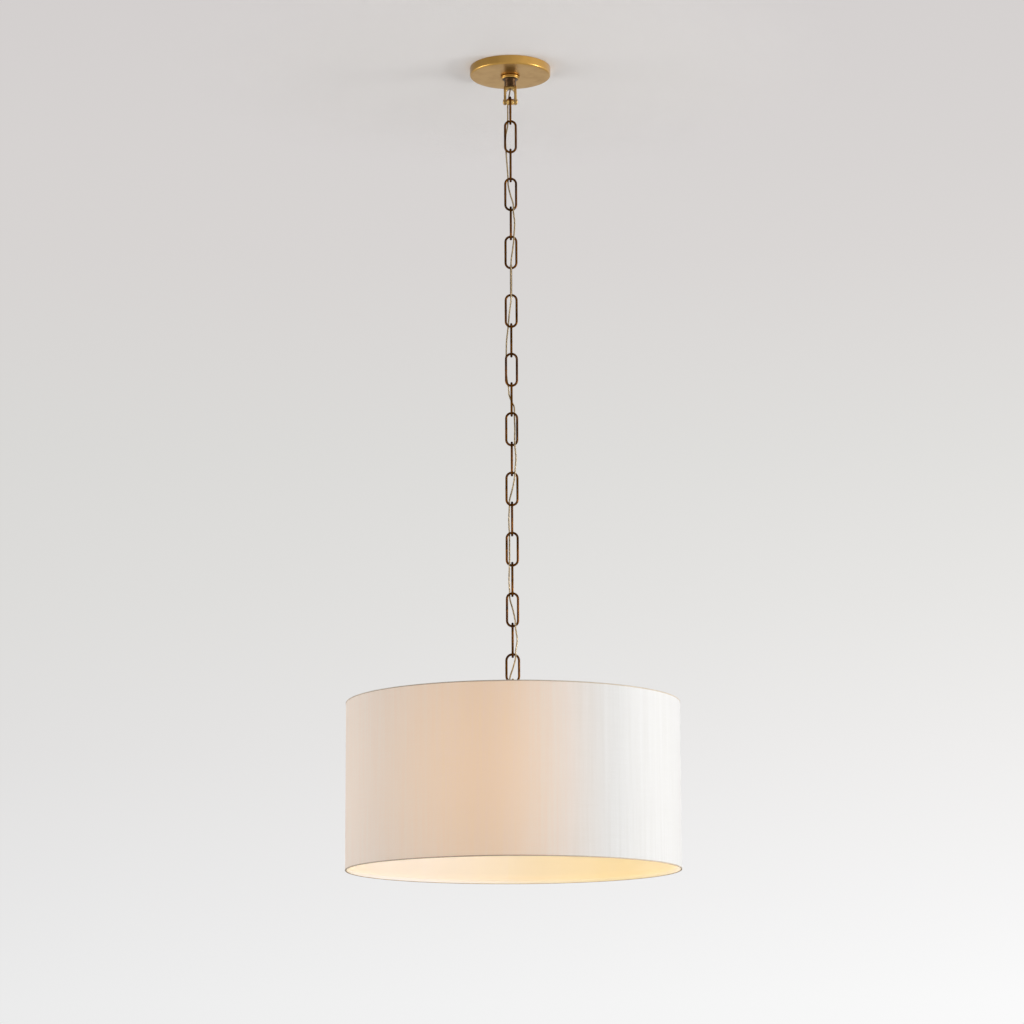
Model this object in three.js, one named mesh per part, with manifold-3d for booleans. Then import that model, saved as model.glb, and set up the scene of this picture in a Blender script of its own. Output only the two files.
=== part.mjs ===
import * as THREE from 'three';
import { mergeGeometries, mergeVertices } from 'three/addons/utils/BufferGeometryUtils.js';
import Module from 'manifold-3d';

// A drum pendant light, hung from the ceiling by a link chain with its cord woven through.
// Millimetres, +Z up. The origin is on the ceiling, on the axis of the canopy.

const wasm = await Module();
wasm.setup();

// Fits shared by all pieces
const fit = 0.3;
const runningGap = 0.6;
const overrun = 1;
const weldGap = 0.0001;

// Canopy, a spun brass pan with an open top
const canopyDiameter = 114.3;
const canopyHeight = 12.7;
const canopyWall = 0.9;
const canopyEdge = 2.4;

// Ceiling bracket and what fixes it
const barClearance = 6.35;
const barEnd = 6.35;
const barLength = canopyDiameter - 2 * barClearance;
const barWidth = 20;
const barThickness = 2;
const boxScrewSpacing = barLength - 2 * barEnd;
const boxScrewTravel = 4;
const boxScrewRadius = 2.05;
const boxScrewHead = 4;
const boxScrewHeadHeight = 2.2;
const boxScrewFlatShare = 0.8;
const boxScrewRise = 9;
const groundScrewPlace = 22;
const groundScrewRadius = 1.9;
const groundScrewHead = 4.4;
const groundScrewHeadHeight = 2.6;
const groundScrewRise = 3.5;

// Threaded tubes, the same stock above and below
const nippleRadius = 4.8;
const nippleBore = 3.2;
const upperNippleRise = 8;
const nippleEngagement = 8;
const nutAcrossFlats = 14;
const nutThickness = 4;

// Screw collar and its ring, which carries the canopy
const collarRadius = 10.7;
const collarRise = 4.7;
const ringRadius = 13.5;
const ringHeight = 4.3;
const ringEdge = 0.8;

// Yoke under the collar, with the sleeve that the first link hangs on
const hubRadius = 8.1;
const hubLength = 11;
const yokeWidth = 18.4;
const yokeLeg = 3.7;
const yokeShoulder = 4;
const yokeDepth = 9;
const yokeOpening = 18.1;
const archBridge = 3.4;
const wirewayRadius = 2.6;
const sleeveRadius = 4.3;
const pinRadius = 2.6;
const pinHead = 4;
const pinHeadThickness = 1;
const pinFlatShare = 0.7;

// Chain
const linkCount = 20;
const linkWire = 3.2;
const linkWidth = 18.4;
const linkLength = 49.18;
const firstLinkLength = 41.4;
const lastLinkWidth = 20.5;
const lastLinkLength = 42.3;

// Loop that the shade hangs by
const loopDiameter = 24;
const loopWire = 3.6;
const loopHubRadius = 7.8;
const loopHubLength = 16.8;
const loopHubSink = 2.2;
const capRadius = 16;
const capWall = 1.2;
const capRise = 2.6;

// Drum shade
const shadeDiameter = 457.2;
const shadeHeight = 228.6;
const linenThickness = 0.6;
const linerThickness = 0.5;
const trimHeight = 1.6;
const trimProud = 0.4;
const ringWire = 3.2;
const ringInset = 1.2;
const spiderRecess = 7.6;
const spiderHubRadius = 17;
const spiderHubThickness = 2;
const spiderWire = 3;
const spiderDropReach = 26;
const spiderRiseShare = 1.5;
const spiderArms = 3;

// Lamp socket
const socketNeckRadius = 7.6;
const socketNeckHeight = 5;
const socketDomeHeight = 13;
const socketSkirt = 6;
const socketWall = 0.8;
const shellRadius = 17;
const shellWall = 0.6;
const shellLength = 44;
const shellCover = 5;
const sleeveWall = 0.8;
const sleeveInset = 2;
const coreHeight = 9;
const screwShellRadius = 14.1;
const screwShellWall = 0.5;
const screwShellLength = 24;
const screwShellFlange = 5;
const contactHead = 4;
const contactHeadHeight = 1;
const contactShank = 1.5;

// Bulb, a frosted pear on a medium screw cap
const bulbRadius = 30;
const bulbLength = 84;
const bulbWall = 0.9;
const bulbNeckRadius = 12.3;
const bulbFlankShare = 0.52;
const bulbJoinShare = 0.25;
const bulbCapRadius = 13.1;
const bulbCapWall = 0.4;
const bulbCapLength = 20;
const bulbNeckCover = 6;
const insulatorHeight = 4.5;
const insulatorTopRadius = 6;
const bulbContactRadius = 4.6;
const bulbContactHeight = 1.4;
const stemRadius = 5;
const stemLength = 34;
const stemTipRadius = 2.6;
const filamentWire = 0.8;
const filamentSpan = 15;
const filamentRise = 9;

// Cord, and the two leads at its top with their caps
const cordRadius = 1.1;
const cordRise = 9.5;
const cordTail = 9;
const leadRadius = 0.8;
const leadSpread = 7.6;
const nutCapRadius = 5.6;
const nutCapTopRadius = 3.4;
const nutCapHeight = 17;
const nutCapBore = 1.8;
const nutCapDepth = 9;
const nutCapFoot = 14.5;

// Facets
const fineSides = 48;
const roundSides = 28;
const smallSides = 16;
const wireSides = 6;
const cordSides = 8;
const linkEndSteps = 6;
const cordSteps = 100;
const leadSteps = 7;
const armSteps = 8;
const filamentSteps = 14;
const edgeSteps = 4;
const insideEdgeSteps = 3;
const plateSteps = 6;
const nutSteps = 10;
const archSteps = 6;
const tongueSteps = 8;
const bulbSteps = 8;
const hexSides = 6;

// Finishes
const finish = (color, roughness, metalness) => ({ color, roughness, metalness });
const satinBrass = finish(0xb98f52, 0.38, 1);
const antiqueBrass = finish(0x6e4a20, 0.42, 1);
const zinc = finish(0xb5b6b4, 0.45, 1);
const greenZinc = finish(0x2f7d4a, 0.45, 1);
const linenCloth = finish(0xf3efe6, 0.95, 0);
const creamFilm = finish(0xf6e6c8, 0.8, 0);
const hemTape = finish(0xcfc3b2, 0.9, 0);
const whiteEnamel = finish(0xe9e6df, 0.5, 0);
const clearJacket = finish(0xb8a888, 0.35, 0);
const fibre = finish(0x4b4640, 0.9, 0);
const porcelain = finish(0xf2f0ea, 0.35, 0);
const copper = finish(0xb87348, 0.35, 1);
const frostedGlass = finish(0xfdf6e6, 0.6, 0);
const clearGlass = finish(0xdfe8ea, 0.1, 0);
const nickel = finish(0xc9c7c0, 0.35, 1);
const blackGlass = finish(0x1d1c1f, 0.25, 0);
const tungsten = finish(0x55524e, 0.5, 1);
const orangePlastic = finish(0xd9742b, 0.5, 0);

const part = new THREE.Group();

// One named sub-part
function piece(name, geometry, { color, roughness, metalness }) {
  const mesh = new THREE.Mesh(geometry, new THREE.MeshStandardMaterial({ color, roughness, metalness }));
  mesh.name = name;
  part.add(mesh);
  return mesh;
}

const vector = (x, y, z) => new THREE.Vector3(x, y, z);

// A closed mesh with its shared corners merged
function weld(geometry) {
  const bare = geometry.clone();
  bare.deleteAttribute('normal');
  bare.deleteAttribute('uv');
  return mergeVertices(bare, weldGap);
}

function solid(geometry) {
  const mesh = weld(geometry);
  const vertProperties = new Float32Array(mesh.attributes.position.array);
  const triVerts = new Uint32Array(mesh.index.array);
  return new wasm.Manifold(new wasm.Mesh({ numProp: 3, vertProperties, triVerts }));
}

function geometryOf(body) {
  const mesh = body.getMesh();
  const geometry = new THREE.BufferGeometry();
  geometry.setAttribute('position', new THREE.BufferAttribute(mesh.vertProperties, mesh.numProp));
  geometry.setIndex(new THREE.BufferAttribute(mesh.triVerts, 1));
  geometry.computeVertexNormals();
  return geometry;
}

// A profile of [radius, height] turned about the vertical axis. It runs outside upwards, inside down.
function turned(profile, sides = roundSides) {
  const points = profile.map(([radius, height]) => new THREE.Vector2(radius, height));
  return new THREE.LatheGeometry(points, sides).rotateX(Math.PI / 2);
}

const closed = (profile) => [...profile, profile[0]];

// Points on a quarter round about a centre, from one angle to another
function arc(centreRadius, centreHeight, radius, from, to, steps) {
  const points = [];
  for (let i = 0; i <= steps; i += 1) {
    const angle = from + ((to - from) * i) / steps;
    points.push([centreRadius + radius * Math.cos(angle), centreHeight + radius * Math.sin(angle)]);
  }
  return points;
}

// A tube from one height down to another
const sleeve = (outer, inner, top, bottom, sides = roundSides) =>
  turned(closed([[inner, bottom], [outer, bottom], [outer, top], [inner, top]]), sides);

// A plain round bar from one height down to another
const bar = (radius, top, bottom, sides = smallSides) =>
  turned([[0, bottom], [radius, bottom], [radius, top], [0, top]], sides);

// A section swept along a smooth curve through the points
function swept(points, radius, steps, sides = wireSides) {
  const corners = Array.from({ length: sides }, (_, i) => {
    const angle = (i * 2 * Math.PI) / sides;
    return new THREE.Vector2(radius * Math.cos(angle), radius * Math.sin(angle));
  });
  const extrudePath = new THREE.CatmullRomCurve3(points, false, 'centripetal');
  return new THREE.ExtrudeGeometry(new THREE.Shape(corners), { steps, extrudePath, bevelEnabled: false });
}

// A flat outline with holes, extruded upwards to its top height
function plate(shape, thickness, top, segments = plateSteps) {
  const options = { depth: thickness, bevelEnabled: false, curveSegments: segments };
  return new THREE.ExtrudeGeometry(shape, options).translate(0, 0, top - thickness);
}

// Heights down the axis, from the ceiling to the first link
const canopyRadius = canopyDiameter / 2;
const ringTop = -canopyHeight - fit;
const ringBottom = ringTop - ringHeight;
const collarTop = -canopyHeight + collarRise;
const hubBottom = ringBottom - hubLength;
const yokeCrown = hubBottom - archBridge;
const sleeveTop = yokeCrown - yokeOpening + yokeLeg;
const sleeveCentre = sleeveTop - sleeveRadius;

// Heights of the links: each hangs by its inside on the wire of the one above
const links = [];
for (let k = 1, seat = sleeveTop; k <= linkCount; k += 1) {
  const first = k === 1;
  const last = k === linkCount;
  const length = first ? firstLinkLength : last ? lastLinkLength : linkLength;
  const width = last ? lastLinkWidth : linkWidth;
  const top = seat + fit + linkWire;
  links.push({ name: `link_${String(k).padStart(2, '0')}`, top, length, width, edgeOn: k % 2 === 1, seat });
  seat = top - length + linkWire;
  links[k - 1].nextSeat = seat;
}

// Heights of the loop, the shade's spider and the socket
const loopTop = links[linkCount - 1].nextSeat + fit + loopWire;
const loopCentre = loopTop - loopDiameter / 2;
const loopHubTop = loopTop - loopDiameter + loopHubSink;
const loopHubBottom = loopHubTop - loopHubLength;
const capTop = loopHubBottom - fit;
const spiderTop = capTop - capRise - fit;
const spiderBottom = spiderTop - spiderHubThickness;
const shadeTop = spiderTop + spiderRecess;
const shadeBottom = shadeTop - shadeHeight;
const lockNutBottom = spiderBottom - fit - nutThickness;
const socketTop = lockNutBottom - fit;
const domeTop = socketTop - socketNeckHeight;
const skirtTop = domeTop - socketDomeHeight;
const skirtBottom = skirtTop - socketSkirt;
const shellTop = skirtBottom + shellCover;
const coreTop = shellTop - sleeveInset;
const coreBottom = coreTop - coreHeight;

function makeCanopy() {
  const edge = canopyRadius - canopyEdge;
  const floor = -canopyHeight;
  const hole = collarRadius + runningGap;
  const quarter = Math.PI / 2;
  const bend = floor + canopyEdge;
  const inside = arc(edge, bend, canopyEdge - canopyWall, -quarter, 0, insideEdgeSteps).reverse();
  piece('canopy', turned(closed([
    [hole, floor],
    ...arc(edge, bend, canopyEdge, -quarter, 0, edgeSteps),
    [canopyRadius, 0],
    [canopyRadius - canopyWall, 0],
    ...inside,
    [hole, floor + canopyWall],
  ]), fineSides), satinBrass);

  const bore = collarRadius + fit;
  piece('canopy_ring', turned(closed([
    [bore, ringBottom],
    [ringRadius - ringEdge, ringBottom],
    [ringRadius, ringBottom + ringEdge],
    [ringRadius, ringTop - ringEdge],
    [ringRadius - ringEdge, ringTop],
    [bore, ringTop],
  ])), satinBrass);
}

function roundHole(x, radius) {
  return new THREE.Path().absarc(x, 0, radius, 0, Math.PI * 2, true);
}

function slotHole(x, halfTravel, radius) {
  const quarter = Math.PI / 2;
  return new THREE.Path()
    .absarc(x + halfTravel, 0, radius, quarter, -quarter, true)
    .absarc(x - halfTravel, 0, radius, -quarter, -3 * quarter, true)
    .closePath();
}

function makeBracket() {
  const half = barLength / 2;
  const side = barWidth / 2;
  const quarter = Math.PI / 2;
  const outline = new THREE.Shape()
    .absarc(half - side, 0, side, -quarter, quarter, false)
    .absarc(side - half, 0, side, quarter, 3 * quarter, false)
    .closePath();
  outline.holes.push(roundHole(0, nippleRadius + fit), roundHole(groundScrewPlace, groundScrewRadius + fit));
  for (const way of [-1, 1]) {
    const place = (way * boxScrewSpacing) / 2;
    outline.holes.push(slotHole(place, boxScrewTravel / 2, boxScrewRadius + fit));
  }
  piece('crossbar', plate(outline, barThickness, 0), zinc);

  const seat = -barThickness - fit;
  for (const [index, way] of [-1, 1].entries()) {
    const screw = turned([
      [0, seat - boxScrewHeadHeight],
      [boxScrewHead * boxScrewFlatShare, seat - boxScrewHeadHeight],
      [boxScrewHead, seat - boxScrewHeadHeight / 2],
      [boxScrewHead, seat],
      [boxScrewRadius, seat],
      [boxScrewRadius, boxScrewRise],
      [0, boxScrewRise],
    ], smallSides);
    piece(`box_screw_${index + 1}`, screw.translate((way * boxScrewSpacing) / 2, 0, 0), zinc);
  }
  piece('ground_screw', turned([
    [0, seat - groundScrewHeadHeight],
    [groundScrewHead, seat - groundScrewHeadHeight],
    [groundScrewHead, seat],
    [groundScrewRadius, seat],
    [groundScrewRadius, groundScrewRise],
    [0, groundScrewRise],
  ], smallSides).translate(groundScrewPlace, 0, 0), greenZinc);
}

// A hexagonal nut about the axis, down from its top
function hexNut(top) {
  const corner = nutAcrossFlats / 2 / Math.cos(Math.PI / hexSides);
  const outline = new THREE.Shape(Array.from({ length: hexSides }, (_, i) => {
    const angle = (i * 2 * Math.PI) / hexSides;
    return new THREE.Vector2(corner * Math.cos(angle), corner * Math.sin(angle));
  }));
  outline.holes.push(roundHole(0, nippleRadius + fit));
  return plate(outline, nutThickness, top, nutSteps);
}

function makeUpperNipple() {
  const foot = collarTop - nippleEngagement;
  piece('upper_nipple', sleeve(nippleRadius, nippleBore, upperNippleRise, foot, smallSides), zinc);
  piece('nipple_nut', hexNut(-barThickness - fit), zinc);
}

// Collar, hub and two legs in one casting, with the thread, the wireway and the pin hole cut through
function makeYoke() {
  const half = yokeWidth / 2;
  const inner = half - yokeLeg;
  const tip = sleeveCentre - yokeDepth / 2;
  const spring = yokeCrown - inner;
  const shoulder = hubBottom + yokeShoulder / 2;
  const front = new THREE.Shape()
    .moveTo(-half, tip)
    .lineTo(-inner, tip)
    .lineTo(-inner, spring)
    .absarc(0, spring, inner, Math.PI, 0, true)
    .lineTo(inner, tip)
    .lineTo(half, tip)
    .lineTo(half, shoulder - yokeShoulder)
    .absarc(half - yokeShoulder, shoulder - yokeShoulder, yokeShoulder, 0, Math.PI / 2, false)
    .absarc(yokeShoulder - half, shoulder - yokeShoulder, yokeShoulder, Math.PI / 2, Math.PI, false)
    .closePath();
  const depth = yokeDepth / 2;
  const archOptions = { depth: yokeDepth, bevelEnabled: false, curveSegments: archSteps };
  const arch = new THREE.ExtrudeGeometry(front, archOptions)
    .rotateX(Math.PI / 2)
    .translate(0, depth, 0);
  const side = new THREE.Shape()
    .moveTo(-depth, shoulder)
    .lineTo(-depth, sleeveCentre)
    .absarc(0, sleeveCentre, depth, Math.PI, 2 * Math.PI, false)
    .lineTo(depth, shoulder)
    .closePath();
  const tongueOptions = { depth: yokeWidth, bevelEnabled: false, curveSegments: tongueSteps };
  const tongue = new THREE.ExtrudeGeometry(side, tongueOptions)
    .rotateX(Math.PI / 2)
    .rotateZ(Math.PI / 2)
    .translate(-half, 0, 0);
  const hub = turned([
    [0, hubBottom],
    [hubRadius, hubBottom],
    [hubRadius, ringBottom],
    [collarRadius, ringBottom],
    [collarRadius, collarTop],
    [0, collarTop],
  ], smallSides);
  const threadBore = bar(nippleRadius + fit, collarTop + overrun, collarTop - nippleEngagement - fit);
  const wireway = bar(wirewayRadius, collarTop, yokeCrown - overrun);
  const pinHole = alongX(bar(pinRadius + fit, half + overrun, -half - overrun), sleeveCentre);
  const body = solid(arch).intersect(solid(tongue)).add(solid(hub))
    .subtract(solid(threadBore)).subtract(solid(wireway)).subtract(solid(pinHole));
  piece('yoke', geometryOf(body), satinBrass);
}

// Turns a piece made about the vertical axis so that it lies along X at a height
const alongX = (geometry, height) => geometry.rotateY(Math.PI / 2).translate(0, 0, height);

function makeYokePin() {
  const half = yokeWidth / 2;
  const span = half - yokeLeg - fit;
  const tube = sleeve(sleeveRadius, pinRadius + fit, span, -span, smallSides);
  piece('yoke_sleeve', alongX(tube, sleeveCentre), satinBrass);
  const seat = half + fit / 2;
  const end = seat + pinHeadThickness;
  const pin = turned([
    [0, -end],
    [pinHead * pinFlatShare, -end],
    [pinHead, -seat - pinHeadThickness / 2],
    [pinHead, -seat],
    [pinRadius, -seat],
    [pinRadius, seat],
    [pinHead, seat],
    [pinHead, seat + pinHeadThickness / 2],
    [pinHead * pinFlatShare, end],
    [0, end],
  ], smallSides);
  piece('yoke_pin', alongX(pin, sleeveCentre), satinBrass);
}

// One oval link of round wire, face on: two half rings joined by two straight legs
function linkGeometry({ top, length, width, edgeOn }) {
  const wire = linkWire / 2;
  const bend = width / 2 - wire;
  const straight = length - width;
  const end = new THREE.TorusGeometry(bend, wire, wireSides, linkEndSteps, Math.PI);
  const leg = new THREE.CylinderGeometry(wire, wire, straight, wireSides, 1, true, Math.PI / 2);
  const geometry = weld(mergeGeometries([
    end.clone().translate(0, straight / 2, 0),
    end.clone().rotateZ(Math.PI).translate(0, -straight / 2, 0),
    leg.clone().translate(bend, 0, 0),
    leg.clone().translate(-bend, 0, 0),
  ]));
  geometry.rotateX(Math.PI / 2).rotateZ(edgeOn ? Math.PI / 2 : 0).translate(0, 0, top - length / 2);
  geometry.computeVertexNormals();
  return geometry;
}

function makeChain() {
  for (const link of links) piece(link.name, linkGeometry(link), antiqueBrass);
}

// The cord's way down the chain. Each row is [place, x share, y share]: place 3 is where link 3 carries
// link 4, and 3.5 is half way to the next such place. Shares are of the least offset that clears a wire.
const cordRowShares = [
  [0.14, -1.15, 2.15], [0.5, -1.2, 1.6], [0.88, -1.25, 1.25],
  [1.12, -1.35, 1.2], [1.5, -2.3, 1.2], [2, -2.1, 1.2], [2.5, -1.6, 1.25], [2.88, -1.25, 1.25],
  [3.12, -1.2, 1.2], [3.5, -0.2, 0], [3.88, 1.2, -1.2],
  [4.12, 1.25, -1.25], [4.5, 1.8, -1.25], [5, 1.4, -1.25], [5.14, 1.3, -1.3],
  [5.5, 0.7, -2.2], [5.86, 0.1, -3.75], [6.5, 0, -3.8], [7.14, 0, -3.75],
  [7.5, -0.7, -1], [7.88, -1.3, 1.2],
  [8.12, -1.6, 1.25], [8.5, -2.2, 1.25], [9, -2.4, 1.25], [9.5, -2.5, 1.25], [9.9, -1.9, 1.25],
  [10.12, -1.35, 1.35], [10.3, -1.15, 2.6], [10.5, 0, 3.85], [10.7, 1.15, 2.6], [10.88, 1.3, 1.35],
  [11.12, 1.3, 1.2], [11.5, 1.45, 0], [11.88, 1.35, -1.2],
  [12.12, 1.5, -1.25], [12.5, 1.9, -1.25], [12.88, 1.5, -1.25],
  [13.12, 1.25, -1.2], [13.5, 0.2, 0], [13.88, -1.2, 1.2],
  [14.12, -1.25, 1.25], [14.5, -1.5, 1.25], [15, -1.3, 1.25], [15.14, -1.25, 1.2],
  [15.5, -1.25, 0], [15.86, -1.25, -1.2],
  [16.12, -1.35, -1.25], [16.5, -1.55, 0], [16.88, -1.3, 1.25],
  [17.12, -1.2, 1.2], [17.5, 0.2, 0], [17.88, 1.2, -1.2],
  [18.12, 1.4, -1.25], [18.5, 2.1, -1.25], [18.88, 1.4, -1.25],
  [19.12, 1.25, -1.2], [19.5, 0, 0], [19.84, -1.3, 1.25], [20.14, -1.3, 1.1],
];

// Height of a place on the chain
function chainHeight(place) {
  const seats = [sleeveTop, ...links.map((link) => link.nextSeat), loopHubTop];
  const k = Math.floor(place);
  return seats[k] + (seats[k + 1] - seats[k]) * (place - k);
}

function makeCord() {
  const aside = linkWire / 2 + cordRadius + fit;
  const rows = cordRowShares.map(([place, x, y]) => vector(x * aside, y * aside, chainHeight(place)));
  const points = [
    vector(0, 0, cordRise),
    vector(0, 0, collarTop),
    vector(0, 0, hubBottom),
    vector(0, 0, yokeCrown),
    ...rows,
    vector(0, 0, loopHubTop + loopWire / 2),
    vector(0, 0, loopHubTop - cordTail),
    vector(0, 0, coreTop + cordTail),
    vector(0, 0, coreTop + fit),
  ];
  let cord = solid(swept(points, cordRadius, cordSteps, cordSides));
  for (const way of [-1, 1]) {
    const lead = [
      vector(0, 0, upperNippleRise - cordTail),
      vector((way * cordRadius) / 2, 0, cordRise),
      vector(way * leadSpread, 0, nutCapFoot - fit),
      vector(way * leadSpread, 0, nutCapFoot + nutCapDepth - fit),
    ];
    cord = cord.add(solid(swept(lead, leadRadius, leadSteps)));
  }
  piece('cord', geometryOf(cord), clearJacket);
}

// Twist-on caps over the splices, inside the ceiling box
function makeWireNuts() {
  for (const [index, way] of [-1, 1].entries()) {
    const cap = turned([
      [0, nutCapFoot + nutCapDepth],
      [nutCapBore, nutCapFoot + nutCapDepth],
      [nutCapBore, nutCapFoot],
      [nutCapRadius, nutCapFoot],
      [nutCapTopRadius, nutCapFoot + nutCapHeight],
      [0, nutCapFoot + nutCapHeight],
    ], smallSides);
    piece(`wire_nut_${index + 1}`, cap.translate(way * leadSpread, 0, 0), orangePlastic);
  }
}

// Ring and hub in one casting, drilled for the cord and the threaded tube
function makeLoop() {
  const wire = loopWire / 2;
  const ring = new THREE.TorusGeometry(loopDiameter / 2 - wire, wire, cordSides, smallSides)
    .rotateX(Math.PI / 2)
    .rotateZ(Math.PI / 2)
    .translate(0, 0, loopCentre);
  const hub = turned([
    [0, loopHubBottom],
    [loopHubRadius, loopHubBottom],
    [loopHubRadius, loopHubTop - loopHubSink],
    [loopHubRadius - loopHubSink, loopHubTop],
    [0, loopHubTop],
  ], smallSides);
  const wireway = bar(wirewayRadius, loopHubTop + loopWire, loopHubBottom);
  const threadBore = bar(nippleRadius + fit, loopHubBottom + nippleEngagement, loopHubBottom - overrun);
  const body = solid(ring).add(solid(hub)).subtract(solid(wireway)).subtract(solid(threadBore));
  piece('shade_loop', geometryOf(body), satinBrass);

  const hole = nippleRadius + fit;
  const foot = capTop - capRise;
  piece('cover_cap', turned(closed([
    [hole, capTop - capWall],
    [loopHubRadius, capTop - capWall],
    [capRadius - capWall, foot],
    [capRadius, foot],
    [loopHubRadius + capWall, capTop],
    [hole, capTop],
  ])), satinBrass);

  const nippleTop = loopHubBottom + nippleEngagement - fit;
  piece('lower_nipple', sleeve(nippleRadius, nippleBore, nippleTop, domeTop - socketWall, smallSides), zinc);
  piece('lock_nut', hexNut(spiderBottom - fit), zinc);
}

const linenRadius = shadeDiameter / 2 - trimProud;
const linerRadius = linenRadius - linenThickness - fit;
const hoopRadius = linerRadius - linerThickness - fit - ringWire / 2;
const hoopTop = shadeTop - trimHeight - ringInset - ringWire / 2;
const hoopBottom = shadeBottom + trimHeight + ringInset + ringWire / 2;

function makeShadeFrame() {
  piece('spider_hub', sleeve(spiderHubRadius, nippleRadius + fit, spiderTop, spiderBottom), whiteEnamel);
  const hoop = new THREE.TorusGeometry(hoopRadius, ringWire / 2, wireSides, fineSides);
  piece('top_hoop', hoop.clone().translate(0, 0, hoopTop), whiteEnamel);
  piece('bottom_hoop', hoop.clone().translate(0, 0, hoopBottom), whiteEnamel);

  const inner = spiderHubRadius + fit;
  const outer = hoopRadius - ringWire / 2 - fit;
  const low = (spiderTop + spiderBottom) / 2;
  const arm = swept([
    vector(inner, 0, low),
    vector(inner + spiderDropReach / 2, 0, low),
    vector(inner + spiderRiseShare * spiderDropReach, 0, hoopTop),
    vector((inner + outer) / 2, 0, hoopTop),
    vector(outer, 0, hoopTop),
  ], spiderWire / 2, armSteps);
  for (let i = 0; i < spiderArms; i += 1) {
    const angle = Math.PI / 2 + (i * 2 * Math.PI) / spiderArms;
    piece(`spider_arm_${i + 1}`, arm.clone().rotateZ(angle), whiteEnamel);
  }
}

function makeShadeSkins() {
  const top = shadeTop - trimHeight;
  const bottom = shadeBottom + trimHeight;
  piece('shade_linen', sleeve(linenRadius, linenRadius - linenThickness, top, bottom, fineSides), linenCloth);
  piece('shade_liner', sleeve(linerRadius, linerRadius - linerThickness, top, bottom, fineSides), creamFilm);
  const edge = shadeDiameter / 2;
  const inside = linerRadius - linerThickness - trimProud;
  piece('top_trim', sleeve(edge, inside, shadeTop, top + fit, fineSides), hemTape);
  piece('bottom_trim', sleeve(edge, inside, bottom - fit, shadeBottom, fineSides), hemTape);
}

function makeSocket() {
  const neck = nippleRadius + fit;
  const skirt = shellRadius + fit + socketWall;
  piece('socket_cap', turned(closed([
    [neck, domeTop - socketWall],
    [socketNeckRadius, domeTop - socketWall],
    [skirt - socketWall, skirtTop],
    [skirt - socketWall, skirtBottom],
    [skirt, skirtBottom],
    [skirt, skirtTop],
    [socketNeckRadius + socketWall, domeTop],
    [socketNeckRadius, socketTop],
    [neck, socketTop],
  ])), satinBrass);

  const shellBottom = shellTop - shellLength;
  piece('socket_shell', sleeve(shellRadius, shellRadius - shellWall, shellTop, shellBottom), satinBrass);
  const paper = shellRadius - shellWall - fit;
  piece('socket_sleeve', sleeve(paper, paper - sleeveWall, shellTop - fit, shellBottom + fit), fibre);
  const coreRadius = paper - sleeveWall - fit;
  piece('socket_core', sleeve(coreRadius, contactShank + fit, coreTop, coreBottom, smallSides), porcelain);

  const screwTop = coreBottom - fit;
  const screwInner = screwShellRadius - screwShellWall;
  piece('screw_shell', turned(closed([
    [screwInner, screwTop - screwShellLength],
    [screwShellRadius, screwTop - screwShellLength],
    [screwShellRadius, screwTop],
    [screwShellRadius - screwShellFlange, screwTop],
    [screwShellRadius - screwShellFlange, screwTop - screwShellWall],
    [screwInner, screwTop - screwShellWall],
  ])), copper);
  piece('centre_contact', turned([
    [0, screwTop - contactHeadHeight],
    [contactHead, screwTop - contactHeadHeight],
    [contactHead, screwTop],
    [contactShank, screwTop],
    [contactShank, coreTop - overrun],
    [0, coreTop - overrun],
  ], smallSides), copper);
  return screwTop - contactHeadHeight - fit;
}

function makeBulb(contactTop) {
  const insulatorTop = contactTop - bulbContactHeight;
  const capTopEdge = insulatorTop - insulatorHeight;
  const capBottom = capTopEdge - bulbCapLength;
  piece('bulb_contact', bar(bulbContactRadius, contactTop, insulatorTop + fit), nickel);
  piece('bulb_insulator', turned([
    [0, capTopEdge + fit],
    [bulbCapRadius - bulbCapWall, capTopEdge + fit],
    [insulatorTopRadius, insulatorTop],
    [0, insulatorTop],
  ], smallSides), blackGlass);
  piece('bulb_cap', sleeve(bulbCapRadius, bulbCapRadius - bulbCapWall, capTopEdge, capBottom), nickel);

  const neckTop = capBottom + bulbNeckCover;
  const tip = neckTop - bulbLength;
  const centre = tip + bulbRadius;
  const waist = capBottom - bulbNeckRadius / 2;
  const join = (bulbJoinShare * Math.PI) / 2;
  const shape = (wall) => [
    ...arc(0, centre, bulbRadius - wall, -Math.PI / 2, join, bulbSteps),
    [(bulbNeckRadius + bulbRadius) * bulbFlankShare - wall, (waist + centre + bulbRadius) / 2],
    [bulbNeckRadius - wall, waist],
    [bulbNeckRadius - wall, neckTop],
  ];
  const outside = shape(0);
  const inside = shape(bulbWall).reverse();
  piece('bulb_glass', turned([...outside, ...inside], roundSides), frostedGlass);

  const stemTop = capTopEdge;
  const stemTip = stemTop - bulbCapLength - stemLength;
  piece('bulb_stem', turned([
    [0, stemTip],
    [stemTipRadius, stemTip],
    [stemTipRadius, stemTip + stemLength / 2],
    [stemRadius, capBottom],
    [bulbCapRadius - bulbCapWall - fit, stemTop - overrun],
    [bulbCapRadius - bulbCapWall - fit, stemTop],
    [0, stemTop],
  ], smallSides), clearGlass);
  const reach = filamentSpan / 2;
  const crest = stemTip - fit - filamentRise;
  const foot = stemTip - fit - filamentWire / 2;
  piece('filament', swept([
    vector(-stemTipRadius / 2, 0, foot),
    vector(-reach, 0, crest),
    vector(0, 0, crest - filamentWire),
    vector(reach, 0, crest),
    vector(stemTipRadius / 2, 0, foot),
  ], filamentWire / 2, filamentSteps), tungsten);
}

makeBracket();
makeUpperNipple();
makeCanopy();
makeYoke();
makeYokePin();
makeChain();
makeCord();
makeWireNuts();
makeLoop();
makeShadeFrame();
makeShadeSkins();
makeBulb(makeSocket());

export default part;
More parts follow.
